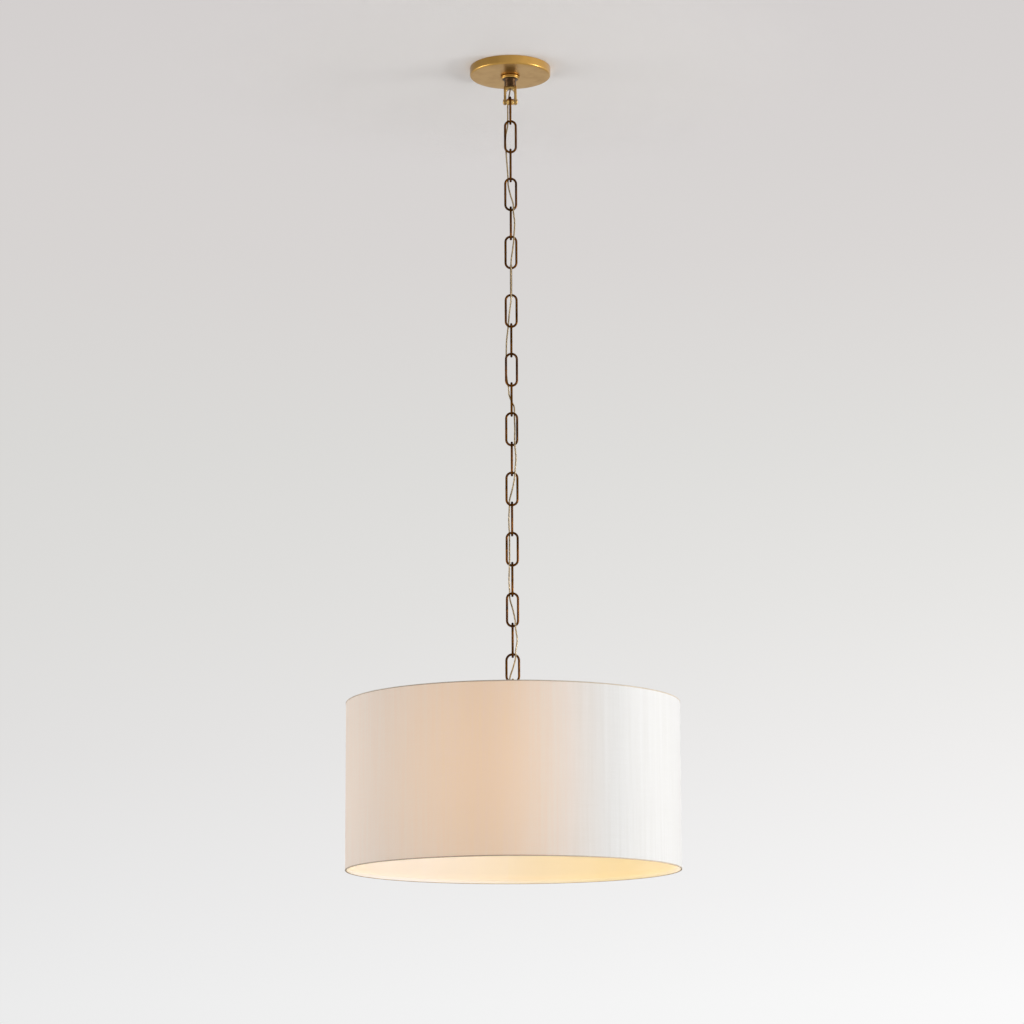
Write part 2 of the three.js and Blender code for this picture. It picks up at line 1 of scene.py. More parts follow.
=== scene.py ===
"""Dresses a drum pendant light: canopy, yoke, link chain with woven cord, linen shade, socket and bulb.

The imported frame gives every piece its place. Sizes in the classes are millimetres, with +Z up and the
origin on the ceiling, and they become metres when a mesh is finished.
"""

import logging
import math
from dataclasses import dataclass, field
from enum import Enum
from functools import cache
from typing import Callable, Sequence, Union

import bmesh
import bpy
from mathutils import Matrix, Vector


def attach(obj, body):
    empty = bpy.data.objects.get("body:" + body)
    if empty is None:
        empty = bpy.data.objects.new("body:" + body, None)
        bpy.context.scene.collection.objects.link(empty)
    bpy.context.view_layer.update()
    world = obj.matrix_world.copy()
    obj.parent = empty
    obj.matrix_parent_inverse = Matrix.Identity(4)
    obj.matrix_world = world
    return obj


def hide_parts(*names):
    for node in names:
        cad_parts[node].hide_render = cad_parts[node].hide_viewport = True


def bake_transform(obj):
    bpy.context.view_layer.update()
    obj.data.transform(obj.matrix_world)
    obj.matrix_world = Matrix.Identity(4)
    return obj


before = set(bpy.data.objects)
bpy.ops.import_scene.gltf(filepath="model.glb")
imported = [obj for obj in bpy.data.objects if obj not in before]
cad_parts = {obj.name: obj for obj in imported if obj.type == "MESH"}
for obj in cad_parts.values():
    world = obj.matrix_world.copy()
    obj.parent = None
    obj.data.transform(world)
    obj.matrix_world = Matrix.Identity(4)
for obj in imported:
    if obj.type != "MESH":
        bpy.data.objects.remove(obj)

log = logging.getLogger("pendant")

MM = 0.001
TURN = 2 * math.pi
UP = Vector((0, 0, 1))
ACROSS = Vector((1, 0, 0))
DEEP = Vector((0, 1, 0))
STILL = Matrix()
Colour = Place = tuple[float, float, float]
Point = tuple[float, float]
Profile = Sequence[Point]
Number = Union["Flow", float]
BLACK = (0.0, 0.0, 0.0)
WHITE = (1.0, 1.0, 1.0)


# Shader maths and node trees


def plug(tree: bpy.types.NodeTree, slot: bpy.types.NodeSocket, value: object) -> None:
    """Links a flow to a socket, or sets the socket's own value.

    Args:
        tree: The tree that holds both.
        slot: The socket to feed.
        value: A flow, a number, or a colour or vector.
    """
    if isinstance(value, Flow):
        tree.links.new(value.socket, slot)
    elif isinstance(value, (tuple, list)) and slot.type == "RGBA" and len(value) == 3:
        slot.default_value = (*value, 1.0)
    else:
        slot.default_value = value


def maths(operation: str, swapped: bool = False) -> Callable[..., "Flow"]:
    """Makes a method that adds one Math node.

    Args:
        operation: The node's operation.
        swapped: True where the other value comes first.

    Returns:
        The method, for a Flow.
    """

    def joined(self: "Flow", other: Number = 0.0) -> "Flow":
        """Joins two values.

        Args:
            self: The flow that the method belongs to.
            other: The other value.

        Returns:
            The flow out of the node.
        """
        node = self.tree.nodes.new("ShaderNodeMath")
        node.operation = operation
        for slot, value in zip(node.inputs, (other, self) if swapped else (self, other)):
            plug(self.tree, slot, value)
        return Flow(self.tree, node.outputs[0])

    return joined


class Flow:
    """A value that leaves a node, with Python's operators for shader maths."""

    __add__, __radd__ = maths("ADD"), maths("ADD", True)
    __sub__, __rsub__ = maths("SUBTRACT"), maths("SUBTRACT", True)
    __mul__, __rmul__ = maths("MULTIPLY"), maths("MULTIPLY", True)
    __truediv__, __pow__ = maths("DIVIDE"), maths("POWER")
    above, below, under, sine = maths("MAXIMUM"), maths("MINIMUM"), maths("LESS_THAN"), maths("SINE")

    def __init__(self, tree: bpy.types.NodeTree, socket: bpy.types.NodeSocket) -> None:
        """Keeps the tree and the socket that the value leaves by."""
        self.tree = tree
        self.socket = socket

    def step(self, start: float, end: float) -> "Flow":
        """Rises smoothly from 0 to 1.

        Args:
            start: The value at which the result leaves 0.
            end: The value at which it reaches 1.

        Returns:
            The smoothed share.
        """
        node = self.tree.nodes.new("ShaderNodeMapRange")
        node.interpolation_type = "SMOOTHSTEP"
        for name, value in (("Value", self), ("From Min", start), ("From Max", end)):
            plug(self.tree, node.inputs[name], value)
        return Flow(self.tree, node.outputs[0])


class Recipe:
    """Builds one node tree, for a material or for the world."""

    def __init__(self, owner: Union[bpy.types.Material, bpy.types.World]) -> None:
        """Starts the owner's tree afresh.

        Args:
            owner: The material or world.
        """
        owner.use_nodes = True
        self.tree = owner.node_tree
        self.tree.nodes.clear()

    def node(
        self, kind: str, settings: dict | None = None, inputs: dict | None = None, output: int | str = 0
    ) -> Flow:
        """Adds a node: its settings first, then its sockets.

        Args:
            kind: The node's type.
            settings: Properties by name.
            inputs: Sockets by name or place, each a flow or a constant.
            output: The socket that the returned flow leaves by.

        Returns:
            The flow out of the node.
        """
        made = self.tree.nodes.new(kind)
        for name, value in (settings or {}).items():
            setattr(made, name, value)
        for name, value in (inputs or {}).items():
            plug(self.tree, made.inputs[name], value)
        return Flow(self.tree, made.outputs[output] if len(made.outputs) else None)

    def point(self) -> Flow:
        """The place on the piece, in metres."""
        return self.node("ShaderNodeTexCoord", output="Object")

    def cloth(self) -> Flow:
        """The place on the piece's own unrolled surface, in metres."""
        return self.node("ShaderNodeTexCoord", output="UV")

    def parts(self, vector: Flow) -> tuple[Flow, Flow, Flow]:
        """The three numbers of a vector."""
        outputs = self.node("ShaderNodeSeparateXYZ", inputs={0: vector}).socket.node.outputs
        return tuple(Flow(self.tree, outputs[i]) for i in range(3))

    def from_axis(self, x: Flow, y: Flow) -> Flow:
        """Distance from the hanging axis."""
        return (x * x + y * y) ** 0.5

    def vector(self, x: Number, y: Number, z: Number) -> Flow:
        """A vector of three numbers."""
        return self.node("ShaderNodeCombineXYZ", inputs={0: x, 1: y, 2: z})

    def stretched(self, vector: Flow, scale: Place) -> Flow:
        """A vector with each number scaled."""
        return self.node("ShaderNodeMapping", inputs={"Vector": vector, "Scale": scale})

    def noise(self, vector: Flow, scale: float, detail: float = 2.0, roughness: float = 0.5) -> Flow:
        """Soft noise from 0 to 1."""
        inputs = {"Vector": vector, "Scale": scale, "Detail": detail, "Roughness": roughness}
        return self.node("ShaderNodeTexNoise", inputs=inputs)

    def mix(self, share: Number, first: object, second: object) -> Flow:
        """A colour between two."""
        settings = {"data_type": "RGBA", "clamp_factor": True}
        return self.node("ShaderNodeMix", settings, {0: share, 6: first, 7: second}, output=2)

    def bump(self, height: Flow, depth: float, strength: float = 1.0) -> Flow:
        """A normal that height moves by up to a depth in metres."""
        inputs = {"Height": height, "Distance": depth, "Strength": strength}
        return self.node("ShaderNodeBump", inputs=inputs)

    def coated(self, inputs: dict) -> Flow:
        """A Principled surface."""
        return self.node("ShaderNodeBsdfPrincipled", inputs=inputs)

    def blended(self, share: Number, first: Flow, second: Flow) -> Flow:
        """A surface between two."""
        return self.node("ShaderNodeMixShader", inputs={0: share, 1: first, 2: second})


# Finishes


class Grain(Enum):
    """How a metal's surface was worked."""

    SPUN = "rings about the hanging axis"
    DRAWN = "lines down the piece"
    CAST = "fine pits"
    PLATED = "cloudy"


@dataclass(frozen=True)
class Finish:
    """A finish that a piece can wear, as a material of its own name."""

    name: str
    kin: str | None = field(default=None, kw_only=True)

    def fill(self, recipe: Recipe) -> Flow:
        """Builds the surface; each finish has its own."""
        raise NotImplementedError

    @cache
    def material(self) -> bpy.types.Material:
        """Makes the finish's material, once.

        Returns:
            The material.
        """
        material = bpy.data.materials.new(self.name)
        recipe = Recipe(material)
        recipe.node("ShaderNodeOutputMaterial", inputs={"Surface": self.fill(recipe)})
        return material


@dataclass(frozen=True)
class Metal(Finish):
    """A worked metal with clouds of tarnish over it."""

    colour: Colour
    shade: Colour
    roughness: float
    grain: Grain
    tarnish: float = 0.5
    spots: float = 45.0
    edge: Colour = WHITE
    relief: float = 0.00002

    def lines(self, recipe: Recipe, point: Flow) -> Flow:
        """The marks that the work has left.

        Args:
            recipe: The tree.
            point: The place on the piece.

        Returns:
            Their height, from 0 to 1.
        """
        if self.grain is Grain.SPUN:
            x, y, z = recipe.parts(point)
            radius = recipe.from_axis(x, y)
            return recipe.noise(recipe.vector(radius * 1500.0, z * 1500.0, 0.0), 1.0, 3.0)
        if self.grain is Grain.DRAWN:
            return recipe.noise(recipe.stretched(point, (1.0, 1.0, 0.04)), 1800.0)
        if self.grain is Grain.CAST:
            return recipe.noise(point, 900.0, 4.0, 0.6)
        return recipe.noise(point, 260.0)

    def fill(self, recipe: Recipe) -> Flow:
        """Grain in the relief and roughness, tarnish in the colour.

        Args:
            recipe: The tree.

        Returns:
            The surface.
        """
        point = recipe.point()
        lines = self.lines(recipe, point)
        clouds = recipe.noise(point, self.spots, 4.0, 0.6)
        stain = clouds.step(0.38, 0.68) * self.tarnish
        return recipe.coated({
            "Base Color": recipe.mix(stain, self.colour, self.shade),
            "Metallic": 1.0,
            "Specular Tint": self.edge,
            "Roughness": (lines - 0.5) * 0.16 + stain * 0.14 + self.roughness,
            "Normal": recipe.bump(lines + clouds * 0.6, self.relief),
        })


@dataclass(frozen=True)
class Coating(Finish):
    """A smooth non-metal: enamel, glaze or moulded plastic, a little uneven."""

    colour: Colour
    shade: Colour
    roughness: float
    mottle: float = 60.0
    relief: float = 0.00003
    coat: float = 0.0

    def fill(self, recipe: Recipe) -> Flow:
        """Faint clouds of the shade, and a fine relief.

        Args:
            recipe: The tree.

        Returns:
            The surface.
        """
        point = recipe.point()
        clouds = recipe.noise(point, self.mottle, 4.0, 0.55)
        fine = recipe.noise(point, self.mottle * 14.0)
        return recipe.coated({
            "Base Color": recipe.mix(clouds.step(0.35, 0.75), self.colour, self.shade),
            "Roughness": (fine - 0.5) * 0.1 + clouds * 0.08 + self.roughness,
            "Coat Weight": self.coat,
            "Normal": recipe.bump(fine + clouds, self.relief),
        })


@dataclass(frozen=True)
class Cloth(Finish):
    """Plain-woven linen, with thicker and thinner yarns, and a painted glow of the lamp inside."""

    colour: Colour
    shade: Colour
    pitch: float = 0.00062
    relief: float = 0.00012
    # lamplight, lamp_colour, lamp_height, drum and back shape the painted lamplight glow
    lamplight: float = 0.0
    lamp_colour: Colour = (1.0, 0.48, 0.10)
    lamp_height: float = 1.02
    drum: float = 0.2282
    back: float = 218.0

    def painted_lamp_glow(self, recipe: Recipe, around: Flow, height: Flow, weave: Flow) -> Flow:
        """Painted lamp glow: strongest left of the front, faded where the key lamp falls, dimmer at the
        rims.

        Args:
            recipe: The tree.
            around: Place round the drum, in metres.
            height: Height, in metres.
            weave: Share of light that the weave holds back.

        Returns:
            The colour of the painted glow.
        """
        # painted light: the lamp's glow, strongest left of the front and faded out where the key lamp falls
        past = self.back - around * (360.0 / TURN / self.drum)
        share = past.step(0.0, 43.0) * (1.0 - past.step(48.0, 98.0) * 0.44) * (1.0 - past.step(150.0, 216.0))
        level = (height + self.lamp_height) * 8.0
        even = (1.0 - (level * level).below(1.0) * 0.14) * (1.06 - weave * 0.12)
        return recipe.mix(share * even * self.lamplight, BLACK, self.lamp_colour)

    def fill(self, recipe: Recipe) -> Flow:
        """Yarns over and under each other, slubs both ways, and a painted lamplight glow.

        Args:
            recipe: The tree.

        Returns:
            The surface.
        """
        cloth = recipe.cloth()
        around, height, _ = recipe.parts(cloth)
        turns = TURN / self.pitch
        slubs_up = recipe.noise(recipe.stretched(cloth, (1.0, 0.02, 1.0)), 900.0, 3.0, 0.65)
        slubs_round = recipe.noise(recipe.stretched(cloth, (0.02, 1.0, 1.0)), 900.0, 3.0, 0.65)
        warp = (around * turns + slubs_up * 2.2).sine()
        weft = (height * turns + slubs_round * 2.2).sine()
        weave = warp * weft * 0.5 + 0.5
        slubs = slubs_up * 0.5 + slubs_round * 0.5
        bands = recipe.noise(recipe.stretched(cloth, (1.0, 0.02, 1.0)), 190.0, 3.0, 0.6)
        shade = (weave * 0.30 + slubs * 0.55 + bands * 0.60).step(0.475, 1.025)
        inputs = {
            "Base Color": recipe.mix(shade, self.shade, self.colour),
            "Roughness": (slubs - 0.5) * 0.1 + 0.82,
            "Sheen Weight": 0.15,
            "Sheen Roughness": 0.5,
            "Specular IOR Level": 0.2,
            "Normal": recipe.bump(weave * 0.6 + slubs * 0.8, self.relief, 0.5),
        }
        if self.lamplight:
            inputs["Emission Color"] = self.painted_lamp_glow(recipe, around, height, shade)
            inputs["Emission Strength"] = 1.0
        return recipe.coated(inputs)


@dataclass(frozen=True)
class Film(Finish):
    """The liner: a thin cream film with a faint pebble, and a painted lamplight glow, a little stronger at
    its bottom rim.
    """

    colour: Colour
    shade: Colour
    pale_light: Colour
    deep_light: Colour
    lamplight: float
    drum: float = 0.2269
    rim: float = -1.1375
    turn_in: float = 0.004

    def fill(self, recipe: Recipe) -> Flow:
        """Pebbled film, and painted lamplight that is paler and deeper in turn round the drum and stronger
        along the bottom rim.

        Args:
            recipe: The tree.

        Returns:
            The surface.
        """
        cloth = recipe.cloth()
        around, height, _ = recipe.parts(cloth)
        pebble = recipe.noise(cloth, 900.0)
        clouds = recipe.noise(recipe.stretched(cloth, (1.0, 0.15, 1.0)), 14.0, 3.0)
        # painted light: the lamp's glow on the liner, paler and deeper in turn round the drum, brighter at
        # the bottom rim
        pale = 0.5 + (around * (2.0 / self.drum)).sine() * 0.5
        level = 0.82 - height.step(self.rim, self.rim + self.turn_in) * 0.17
        light = recipe.mix(level, BLACK, recipe.mix(pale, self.deep_light, self.pale_light))
        return recipe.coated({
            "Base Color": recipe.mix(clouds.step(0.3, 0.7), self.colour, self.shade),
            "Roughness": pebble * 0.12 + 0.5,
            "Specular IOR Level": 0.2,
            "Emission Color": light,
            "Emission Strength": self.lamplight,
            "Normal": recipe.bump(pebble, 0.00004, 0.4),
        })


@dataclass(frozen=True)
class Lit(Finish):
    """Frosted glass with the light behind it: white over the pear, dim and warm in the neck."""

    colour: Colour
    glow: Colour
    strength: float
    neck: tuple[float, float] = (-1.026, -0.990)

    def fill(self, recipe: Recipe) -> Flow:
        """Frosting, with a warm light that fades up the neck.

        Args:
            recipe: The tree.

        Returns:
            The surface.
        """
        point = recipe.point()
        _, _, z = recipe.parts(point)
        level = 1.0 - z.step(*self.neck) * 0.93
        frost = recipe.noise(point, 1400.0)
        clouds = recipe.noise(point, 30.0)
        return recipe.coated({
            "Base Color": recipe.mix(clouds, self.colour, self.glow),
            "Roughness": frost * 0.2 + 0.45,
            "Emission Color": recipe.mix(level, BLACK, self.glow),
            "Emission Strength": self.strength,
            "Normal": recipe.bump(frost, 0.00002),
        })


@dataclass(frozen=True)
class Clear(Finish):
    """Clear glass."""

    tint: Colour
    roughness: float = 0.05

    def fill(self, recipe: Recipe) -> Flow:
        """Glass with faint ripples.

        Args:
            recipe: The tree.

        Returns:
            The surface.
        """
        ripples = recipe.noise(recipe.point(), 120.0)
        return recipe.coated({
            "Base Color": recipe.mix(ripples * 0.2, self.tint, WHITE),
            "Roughness": ripples * 0.04 + self.roughness,
            "Transmission Weight": 1.0,
            "IOR": 1.5,
            "Normal": recipe.bump(ripples, 0.00005),
        })


@dataclass(frozen=True)
class Jacket(Finish):
    """Two twisted strands of gold-toned wire under a clear jacket."""

    strand: Colour
    hollow: Colour
    lay: float = 0.0075

    def fill(self, recipe: Recipe) -> Flow:
        """Strands wind round the cord, and a glossy coat lies over them.

        Args:
            recipe: The tree.

        Returns:
            The surface.
        """
        cloth = recipe.cloth()
        around, along, _ = recipe.parts(cloth)
        twist = (around * TURN * 2.0 + along * (TURN / self.lay)).sine()
        wires = (around * TURN * 22.0 + along * (TURN / self.lay) * 7.0).sine()
        lint = recipe.noise(cloth, 300.0)
        shade = (twist * 0.30 + wires * 0.14 + lint * 0.3 + 0.42).step(0.1, 0.9)
        return recipe.coated({
            "Base Color": recipe.mix(shade, self.hollow, self.strand),
            "Metallic": shade * 0.45,
            "Roughness": lint * 0.15 + 0.3,
            "Coat Weight": 0.8,
            "Coat Roughness": 0.12,
            "Normal": recipe.bump(twist * 0.6 + wires * 0.2, 0.00012, 0.6),
        })


class Finishes:
    """Every finish of the light."""

    SATIN_BRASS = Metal("satin_brass", (0.47, 0.272, 0.072), (0.33, 0.178, 0.042), 0.33, Grain.SPUN, 0.35)
    BRIGHT_BRASS = Metal(
        "bright_brass", (0.62, 0.40, 0.145), (0.34, 0.20, 0.06), 0.24, Grain.CAST, 0.4, kin="satin_brass"
    )
    CAST_BRASS = Metal(
        "cast_brass", (0.42, 0.26, 0.085), (0.10, 0.055, 0.018), 0.28, Grain.CAST, 0.75, 60.0,
        kin="satin_brass",
    )
    DARK_BRASS = Metal(
        "dark_brass", (0.085, 0.045, 0.02), (0.03, 0.016, 0.008), 0.32, Grain.CAST, 0.8, 80.0,
        kin="satin_brass",
    )
    ANTIQUE_BRASS = Metal(
        "antique_brass", (0.115, 0.042, 0.006), (0.010, 0.004, 0.001), 0.30, Grain.CAST, 0.7, 40.0,
        (0.10, 0.03, 0.01),
    )
    ZINC = Metal("zinc_plate", (0.60, 0.61, 0.60), (0.42, 0.42, 0.40), 0.38, Grain.PLATED, 0.6)
    GREEN_ZINC = Metal("green_zinc", (0.06, 0.36, 0.16), (0.03, 0.18, 0.09), 0.38, Grain.PLATED, 0.6)
    COPPER = Metal("contact_copper", (0.72, 0.36, 0.18), (0.36, 0.16, 0.08), 0.28, Grain.DRAWN)
    NICKEL = Metal("cap_nickel", (0.66, 0.63, 0.58), (0.44, 0.42, 0.38), 0.26, Grain.PLATED, 0.4)
    TUNGSTEN = Metal("tungsten", (0.22, 0.21, 0.20), (0.10, 0.10, 0.10), 0.35, Grain.DRAWN, 0.3)
    # LINEN and LINER carry painted lamplight glows
    LINEN = Cloth("linen", (0.88, 0.875, 0.865), (0.80, 0.79, 0.77), lamplight=0.40)
    SEAM = Cloth("linen_seam", (0.87, 0.862, 0.85), (0.78, 0.765, 0.74), kin="linen")
    # hem tape: its tan is partly the tape's own colour and partly painted shade along each rim
    HEM = Cloth("hem_tape", (0.76, 0.66, 0.54), (0.64, 0.54, 0.42), 0.0008)
    # LINER's two light colours and strength are its painted lamplight glow
    LINER = Film(
        "cream_film", (0.88, 0.78, 0.60), (0.84, 0.73, 0.54), (1.0, 0.92, 0.90), (0.83, 0.625, 0.275), 0.73
    )
    ENAMEL = Coating("white_enamel", (0.80, 0.77, 0.72), (0.70, 0.66, 0.60), 0.36, coat=0.4)
    FIBRE = Coating("fibre_sleeve", (0.055, 0.05, 0.045), (0.03, 0.027, 0.024), 0.75, 120.0, 0.0001)
    PORCELAIN = Coating("porcelain", (0.84, 0.81, 0.75), (0.76, 0.73, 0.67), 0.22, coat=0.7)
    BLACK_GLASS = Coating("black_glass", (0.012, 0.012, 0.016), (0.03, 0.03, 0.035), 0.12, coat=0.6)
    ORANGE = Coating("orange_plastic", (0.60, 0.15, 0.025), (0.48, 0.11, 0.02), 0.42, 80.0)
    CORD = Jacket("cord_jacket", (0.46, 0.33, 0.15), (0.20, 0.13, 0.05))
    BULB = Lit("frosted_glass", (0.62, 0.60, 0.55), (1.0, 0.80, 0.56), 5.0)
    STEM = Clear("clear_glass", (0.86, 0.92, 0.92))


# Shapes


def arc(centre: Point, radius: float, start: float, end: float, steps: int) -> list[Point]:
    """Points on an arc from one angle to another, in degrees from outwards towards up."""
    angles = [math.radians(start + (end - start) * i / steps) for i in range(steps + 1)]
    return [(centre[0] + radius * math.cos(a), centre[1] + radius * math.sin(a)) for a in angles]


def bezier(corners: Profile, steps: int = 6) -> list[Point]:
    """Points on a cubic curve.

    Args:
        corners: Its four control points.
        steps: Number of stretches.

    Returns:
        The points in order, both ends among them.
    """
    a, b, c, d = (Vector(p) for p in corners)
    shares = [(i / steps, 1 - i / steps) for i in range(steps + 1)]
    points = [a * u**3 + b * 3 * u * u * t + c * 3 * u * t * t + d * t**3 for t, u in shares]
    return [(p.x, p.y) for p in points]


def bored(bore: float, low: float, top: float, side: Profile, ease: float = 0.3) -> list[Point]:
    """The section of a ring or tube whose bore has eased ends; its side runs from the lower end up."""
    return [(bore, low + ease), (bore + ease, low), *side, (bore + ease, top), (bore, top - ease)]


def lying(height: float) -> Matrix:
    """Turns a form made about the vertical so that it lies along X at a height."""
    return Matrix.Translation((0, 0, height)) @ Matrix.Rotation(math.pi / 2, 4, "Y")


class Curve:
    """A smooth open curve through points, the same as the one that the solid's cord is swept along."""

    def __init__(self, points: Sequence[Vector]) -> None:
        """Keeps the points, with one more beyond each end."""
        self.points = [points[0] * 2 - points[1], *points, points[-1] * 2 - points[-2]]

    def stretch(self, i: int, t: float) -> Vector:
        """Finds one place.

        Args:
            i: The point at which the stretch starts.
            t: Share of the stretch.

        Returns:
            The place.
        """
        p = self.points[i:i + 4]
        knots = [0.0]
        for a, b in zip(p, p[1:]):
            knots.append(knots[-1] + max((b - a).length, 1e-4) ** 0.5)
        x = knots[1] + (knots[2] - knots[1]) * t

        def between(left: Vector, right: Vector, start: float, end: float) -> Vector:
            """A place between two, by its knot."""
            return (left * (end - x) + right * (x - start)) / (end - start)

        a = [between(p[k], p[k + 1], knots[k], knots[k + 1]) for k in range(3)]
        b = [between(a[k], a[k + 1], knots[k], knots[k + 2]) for k in range(2)]
        return between(b[0], b[1], knots[1], knots[2])

    def sampled(self, steps: int = 8) -> list[Vector]:
        """Places along the whole curve, with so many in each stretch."""
        places = [self.stretch(i, k / steps) for i in range(len(self.points) - 3) for k in range(steps)]
        return [*places, self.points[-2].copy()]


@dataclass(frozen=True)
class Round:
    """How a finished edge is rounded."""

    width: float
    segments: int = 2
    angle: float = 32.0


def ring_of(grown: list) -> tuple[list, list]:
    """The vertices among what an operator has made, and the edges between them."""
    ring = [g for g in grown if isinstance(g, bmesh.types.BMVert)]
    return ring, [g for g in grown if isinstance(g, bmesh.types.BMEdge) and set(g.verts) <= set(ring)]


class Shape:
    """A bmesh in millimetres that operators build up, and its way into the scene."""

    round_length: float = 1.0

    def __init__(self) -> None:
        """Starts an empty mesh with the layers that a wrapped pattern reads."""
        self.bm = bmesh.new()
        self.turn = self.bm.verts.layers.float.new("turn")
        self.along = self.bm.verts.layers.float.new("along")

    def _new(self, before: set) -> list:
        """The vertices that were not there before."""
        return [v for v in self.bm.verts if v not in before]

    def _line(self, points: Sequence[Point], closed: bool = False) -> list:
        """Draws a profile.

        Args:
            points: Its points, as radius and height.
            closed: True where the last point joins the first.

        Returns:
            Its vertices and edges.
        """
        verts = [self.bm.verts.new((r, 0, h)) for r, h in points]
        edges = [self.bm.edges.new(pair) for pair in zip(verts, verts[1:])]
        if closed:
            edges.append(self.bm.edges.new((verts[-1], verts[0])))
        return verts + edges

    def lathe(
        self, profile: Profile, steps: int = 48, closed: bool = True, place: Matrix = STILL,
        angle: float = TURN,
    ) -> "Shape":
        """Turns a profile of radius and height about the vertical axis.

        Args:
            profile: Points of radius and height.
            steps: Facets round.
            closed: True where the last point joins the first.
            place: Where the turned form goes.
            angle: How far it turns.

        Returns:
            The same shape.
        """
        before = set(self.bm.verts)
        full = abs(angle - TURN) < 1e-6
        bmesh.ops.spin(
            self.bm, geom=self._line(profile, closed), cent=(0, 0, 0), axis=UP, dvec=(0, 0, 0), angle=angle,
            steps=steps, use_merge=full, use_duplicate=False,
        )
        bmesh.ops.remove_doubles(self.bm, verts=self._new(before), dist=1e-4)
        made = self._new(before)
        for v in made:
            v[self.turn] = (math.atan2(-v.co.x, v.co.y) / TURN) % 1.0
            v[self.along] = v.co.z * MM
        if not full:
            self._cap(made)
        bmesh.ops.transform(self.bm, matrix=place, verts=made)
        return self

    def _cap(self, verts: list) -> None:
        """Closes the open loops among some vertices."""
        chosen = set(verts)
        open_edges = [e for e in self.bm.edges if e.is_boundary and e.verts[0] in chosen]
        bmesh.ops.holes_fill(self.bm, edges=open_edges, sides=0)

    def tube(self, path: Sequence[Vector], radius: float, sides: int = 12) -> "Shape":
        """Draws a round section along a path.

        Args:
            path: Places that the middle of the section passes.
            radius: The section's radius.
            sides: Its facets.

        Returns:
            The same shape.
        """
        frames = self._frames(path)
        ring = bmesh.ops.create_circle(self.bm, cap_ends=False, radius=radius, segments=sides)["verts"]
        bmesh.ops.transform(self.bm, matrix=frames[0], verts=ring)
        distance = 0.0
        self._mark(ring, frames[0], distance)
        edges = list(self.bm.edges)
        for last, here in zip(frames, frames[1:]):
            ring, edges = ring_of(bmesh.ops.extrude_edge_only(self.bm, edges=edges)["geom"])
            bmesh.ops.transform(self.bm, matrix=here @ last.inverted(), verts=ring)
            distance += (here.translation - last.translation).length
            self._mark(ring, here, distance)
        self._cap(list(self.bm.verts))
        return self

    def _mark(self, ring: list, place: Matrix, distance: float) -> None:
        """Notes how far round and along each vertex of a ring lies.

        Args:
            ring: The vertices.
            place: The ring's place.
            distance: Its distance along the path.
        """
        back = place.inverted()
        for v in ring:
            local = back @ v.co
            v[self.turn] = (math.atan2(local.y, local.x) / TURN) % 1.0
            v[self.along] = distance * MM

    @staticmethod
    def _frames(path: Sequence[Vector]) -> list[Matrix]:
        """Carries a frame along a path without twist.

        Args:
            path: The places.

        Returns:
            A frame for each.
        """
        frames = []
        side = DEEP
        for i, p in enumerate(path):
            ahead = (path[min(i + 1, len(path) - 1)] - path[max(i - 1, 0)]).normalized()
            if abs(ahead.dot(side)) > 0.999:
                side = ACROSS
            side = (side - ahead * ahead.dot(side)).normalized()
            rows = Matrix((side, ahead.cross(side), ahead)).transposed().to_4x4()
            frames.append(Matrix.Translation(p) @ rows)
        return frames

    def helix(
        self, radius: float, depth: float, pitch: float, top: float, length: float, steps: int = 20,
        place: Matrix = STILL,
    ) -> "Shape":
        """A rolled screw thread, as a skin that winds down.

        Args:
            radius: Radius at the crests.
            depth: How far the roots lie below them.
            pitch: Height of one turn.
            top: Height of its upper end.
            length: Height of the whole thread.
            steps: Facets in one turn.
            place: Where the thread goes.

        Returns:
            The same shape.
        """
        turns = max(1, round(length / pitch) - 1)
        before = set(self.bm.verts)
        wave = [(0.0, 0.0), (0.2, 0.15), (0.5, 1.0), (0.8, 0.15), (1.0, 0.0)]
        line = self._line([(radius - depth * (1 - high), top - pitch * share) for share, high in wave])
        bmesh.ops.spin(
            self.bm, geom=line, cent=(0, 0, 0), axis=UP, dvec=(0, 0, -pitch / steps), angle=TURN * turns,
            steps=steps * turns, use_merge=False, use_duplicate=False,
        )
        bmesh.ops.remove_doubles(self.bm, verts=self._new(before), dist=pitch / 100)
        bmesh.ops.transform(self.bm, matrix=place, verts=self._new(before))
        return self

    def outline(self, points: Profile, depth: float) -> "Shape":
        """A flat outline in X and Z, extruded to both sides along Y.

        Args:
            points: The outline's corners, as across and height.
            depth: Its whole thickness.

        Returns:
            The same shape.
        """
        face = self.bm.faces.new([self.bm.verts.new((x, -depth / 2, z)) for x, z in points])
        front, _ = ring_of(bmesh.ops.extrude_face_region(self.bm, geom=[face])["geom"])
        bmesh.ops.translate(self.bm, vec=(0, depth, 0), verts=front)
        return self

    def copied(self, node: str) -> "Shape":
        """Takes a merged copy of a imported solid, with its flat faces joined.

        Args:
            node: The solid's name.

        Returns:
            The same shape.
        """
        bm = self.bm
        bm.from_mesh(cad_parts[node].data)
        bmesh.ops.scale(bm, vec=(1 / MM,) * 3, verts=bm.verts)
        bmesh.ops.remove_doubles(bm, verts=bm.verts, dist=0.002)
        bmesh.ops.dissolve_limit(
            bm, angle_limit=math.radians(1), verts=bm.verts, edges=bm.edges, use_dissolve_boundaries=False
        )
        return self

    def soften(self, edge: Round) -> "Shape":
        """Bevels every edge that turns sharply.

        Args:
            edge: The rounding.

        Returns:
            The same shape.
        """
        limit = math.radians(edge.angle)
        sharp = [e for e in self.bm.edges if len(e.link_faces) == 2 and e.calc_face_angle(0.0) > limit]
        bmesh.ops.bevel(
            self.bm, geom=sharp, offset=edge.width, offset_type="OFFSET", segments=edge.segments,
            profile=0.5, affect="EDGES", clamp_overlap=True, material=-1,
        )
        return self

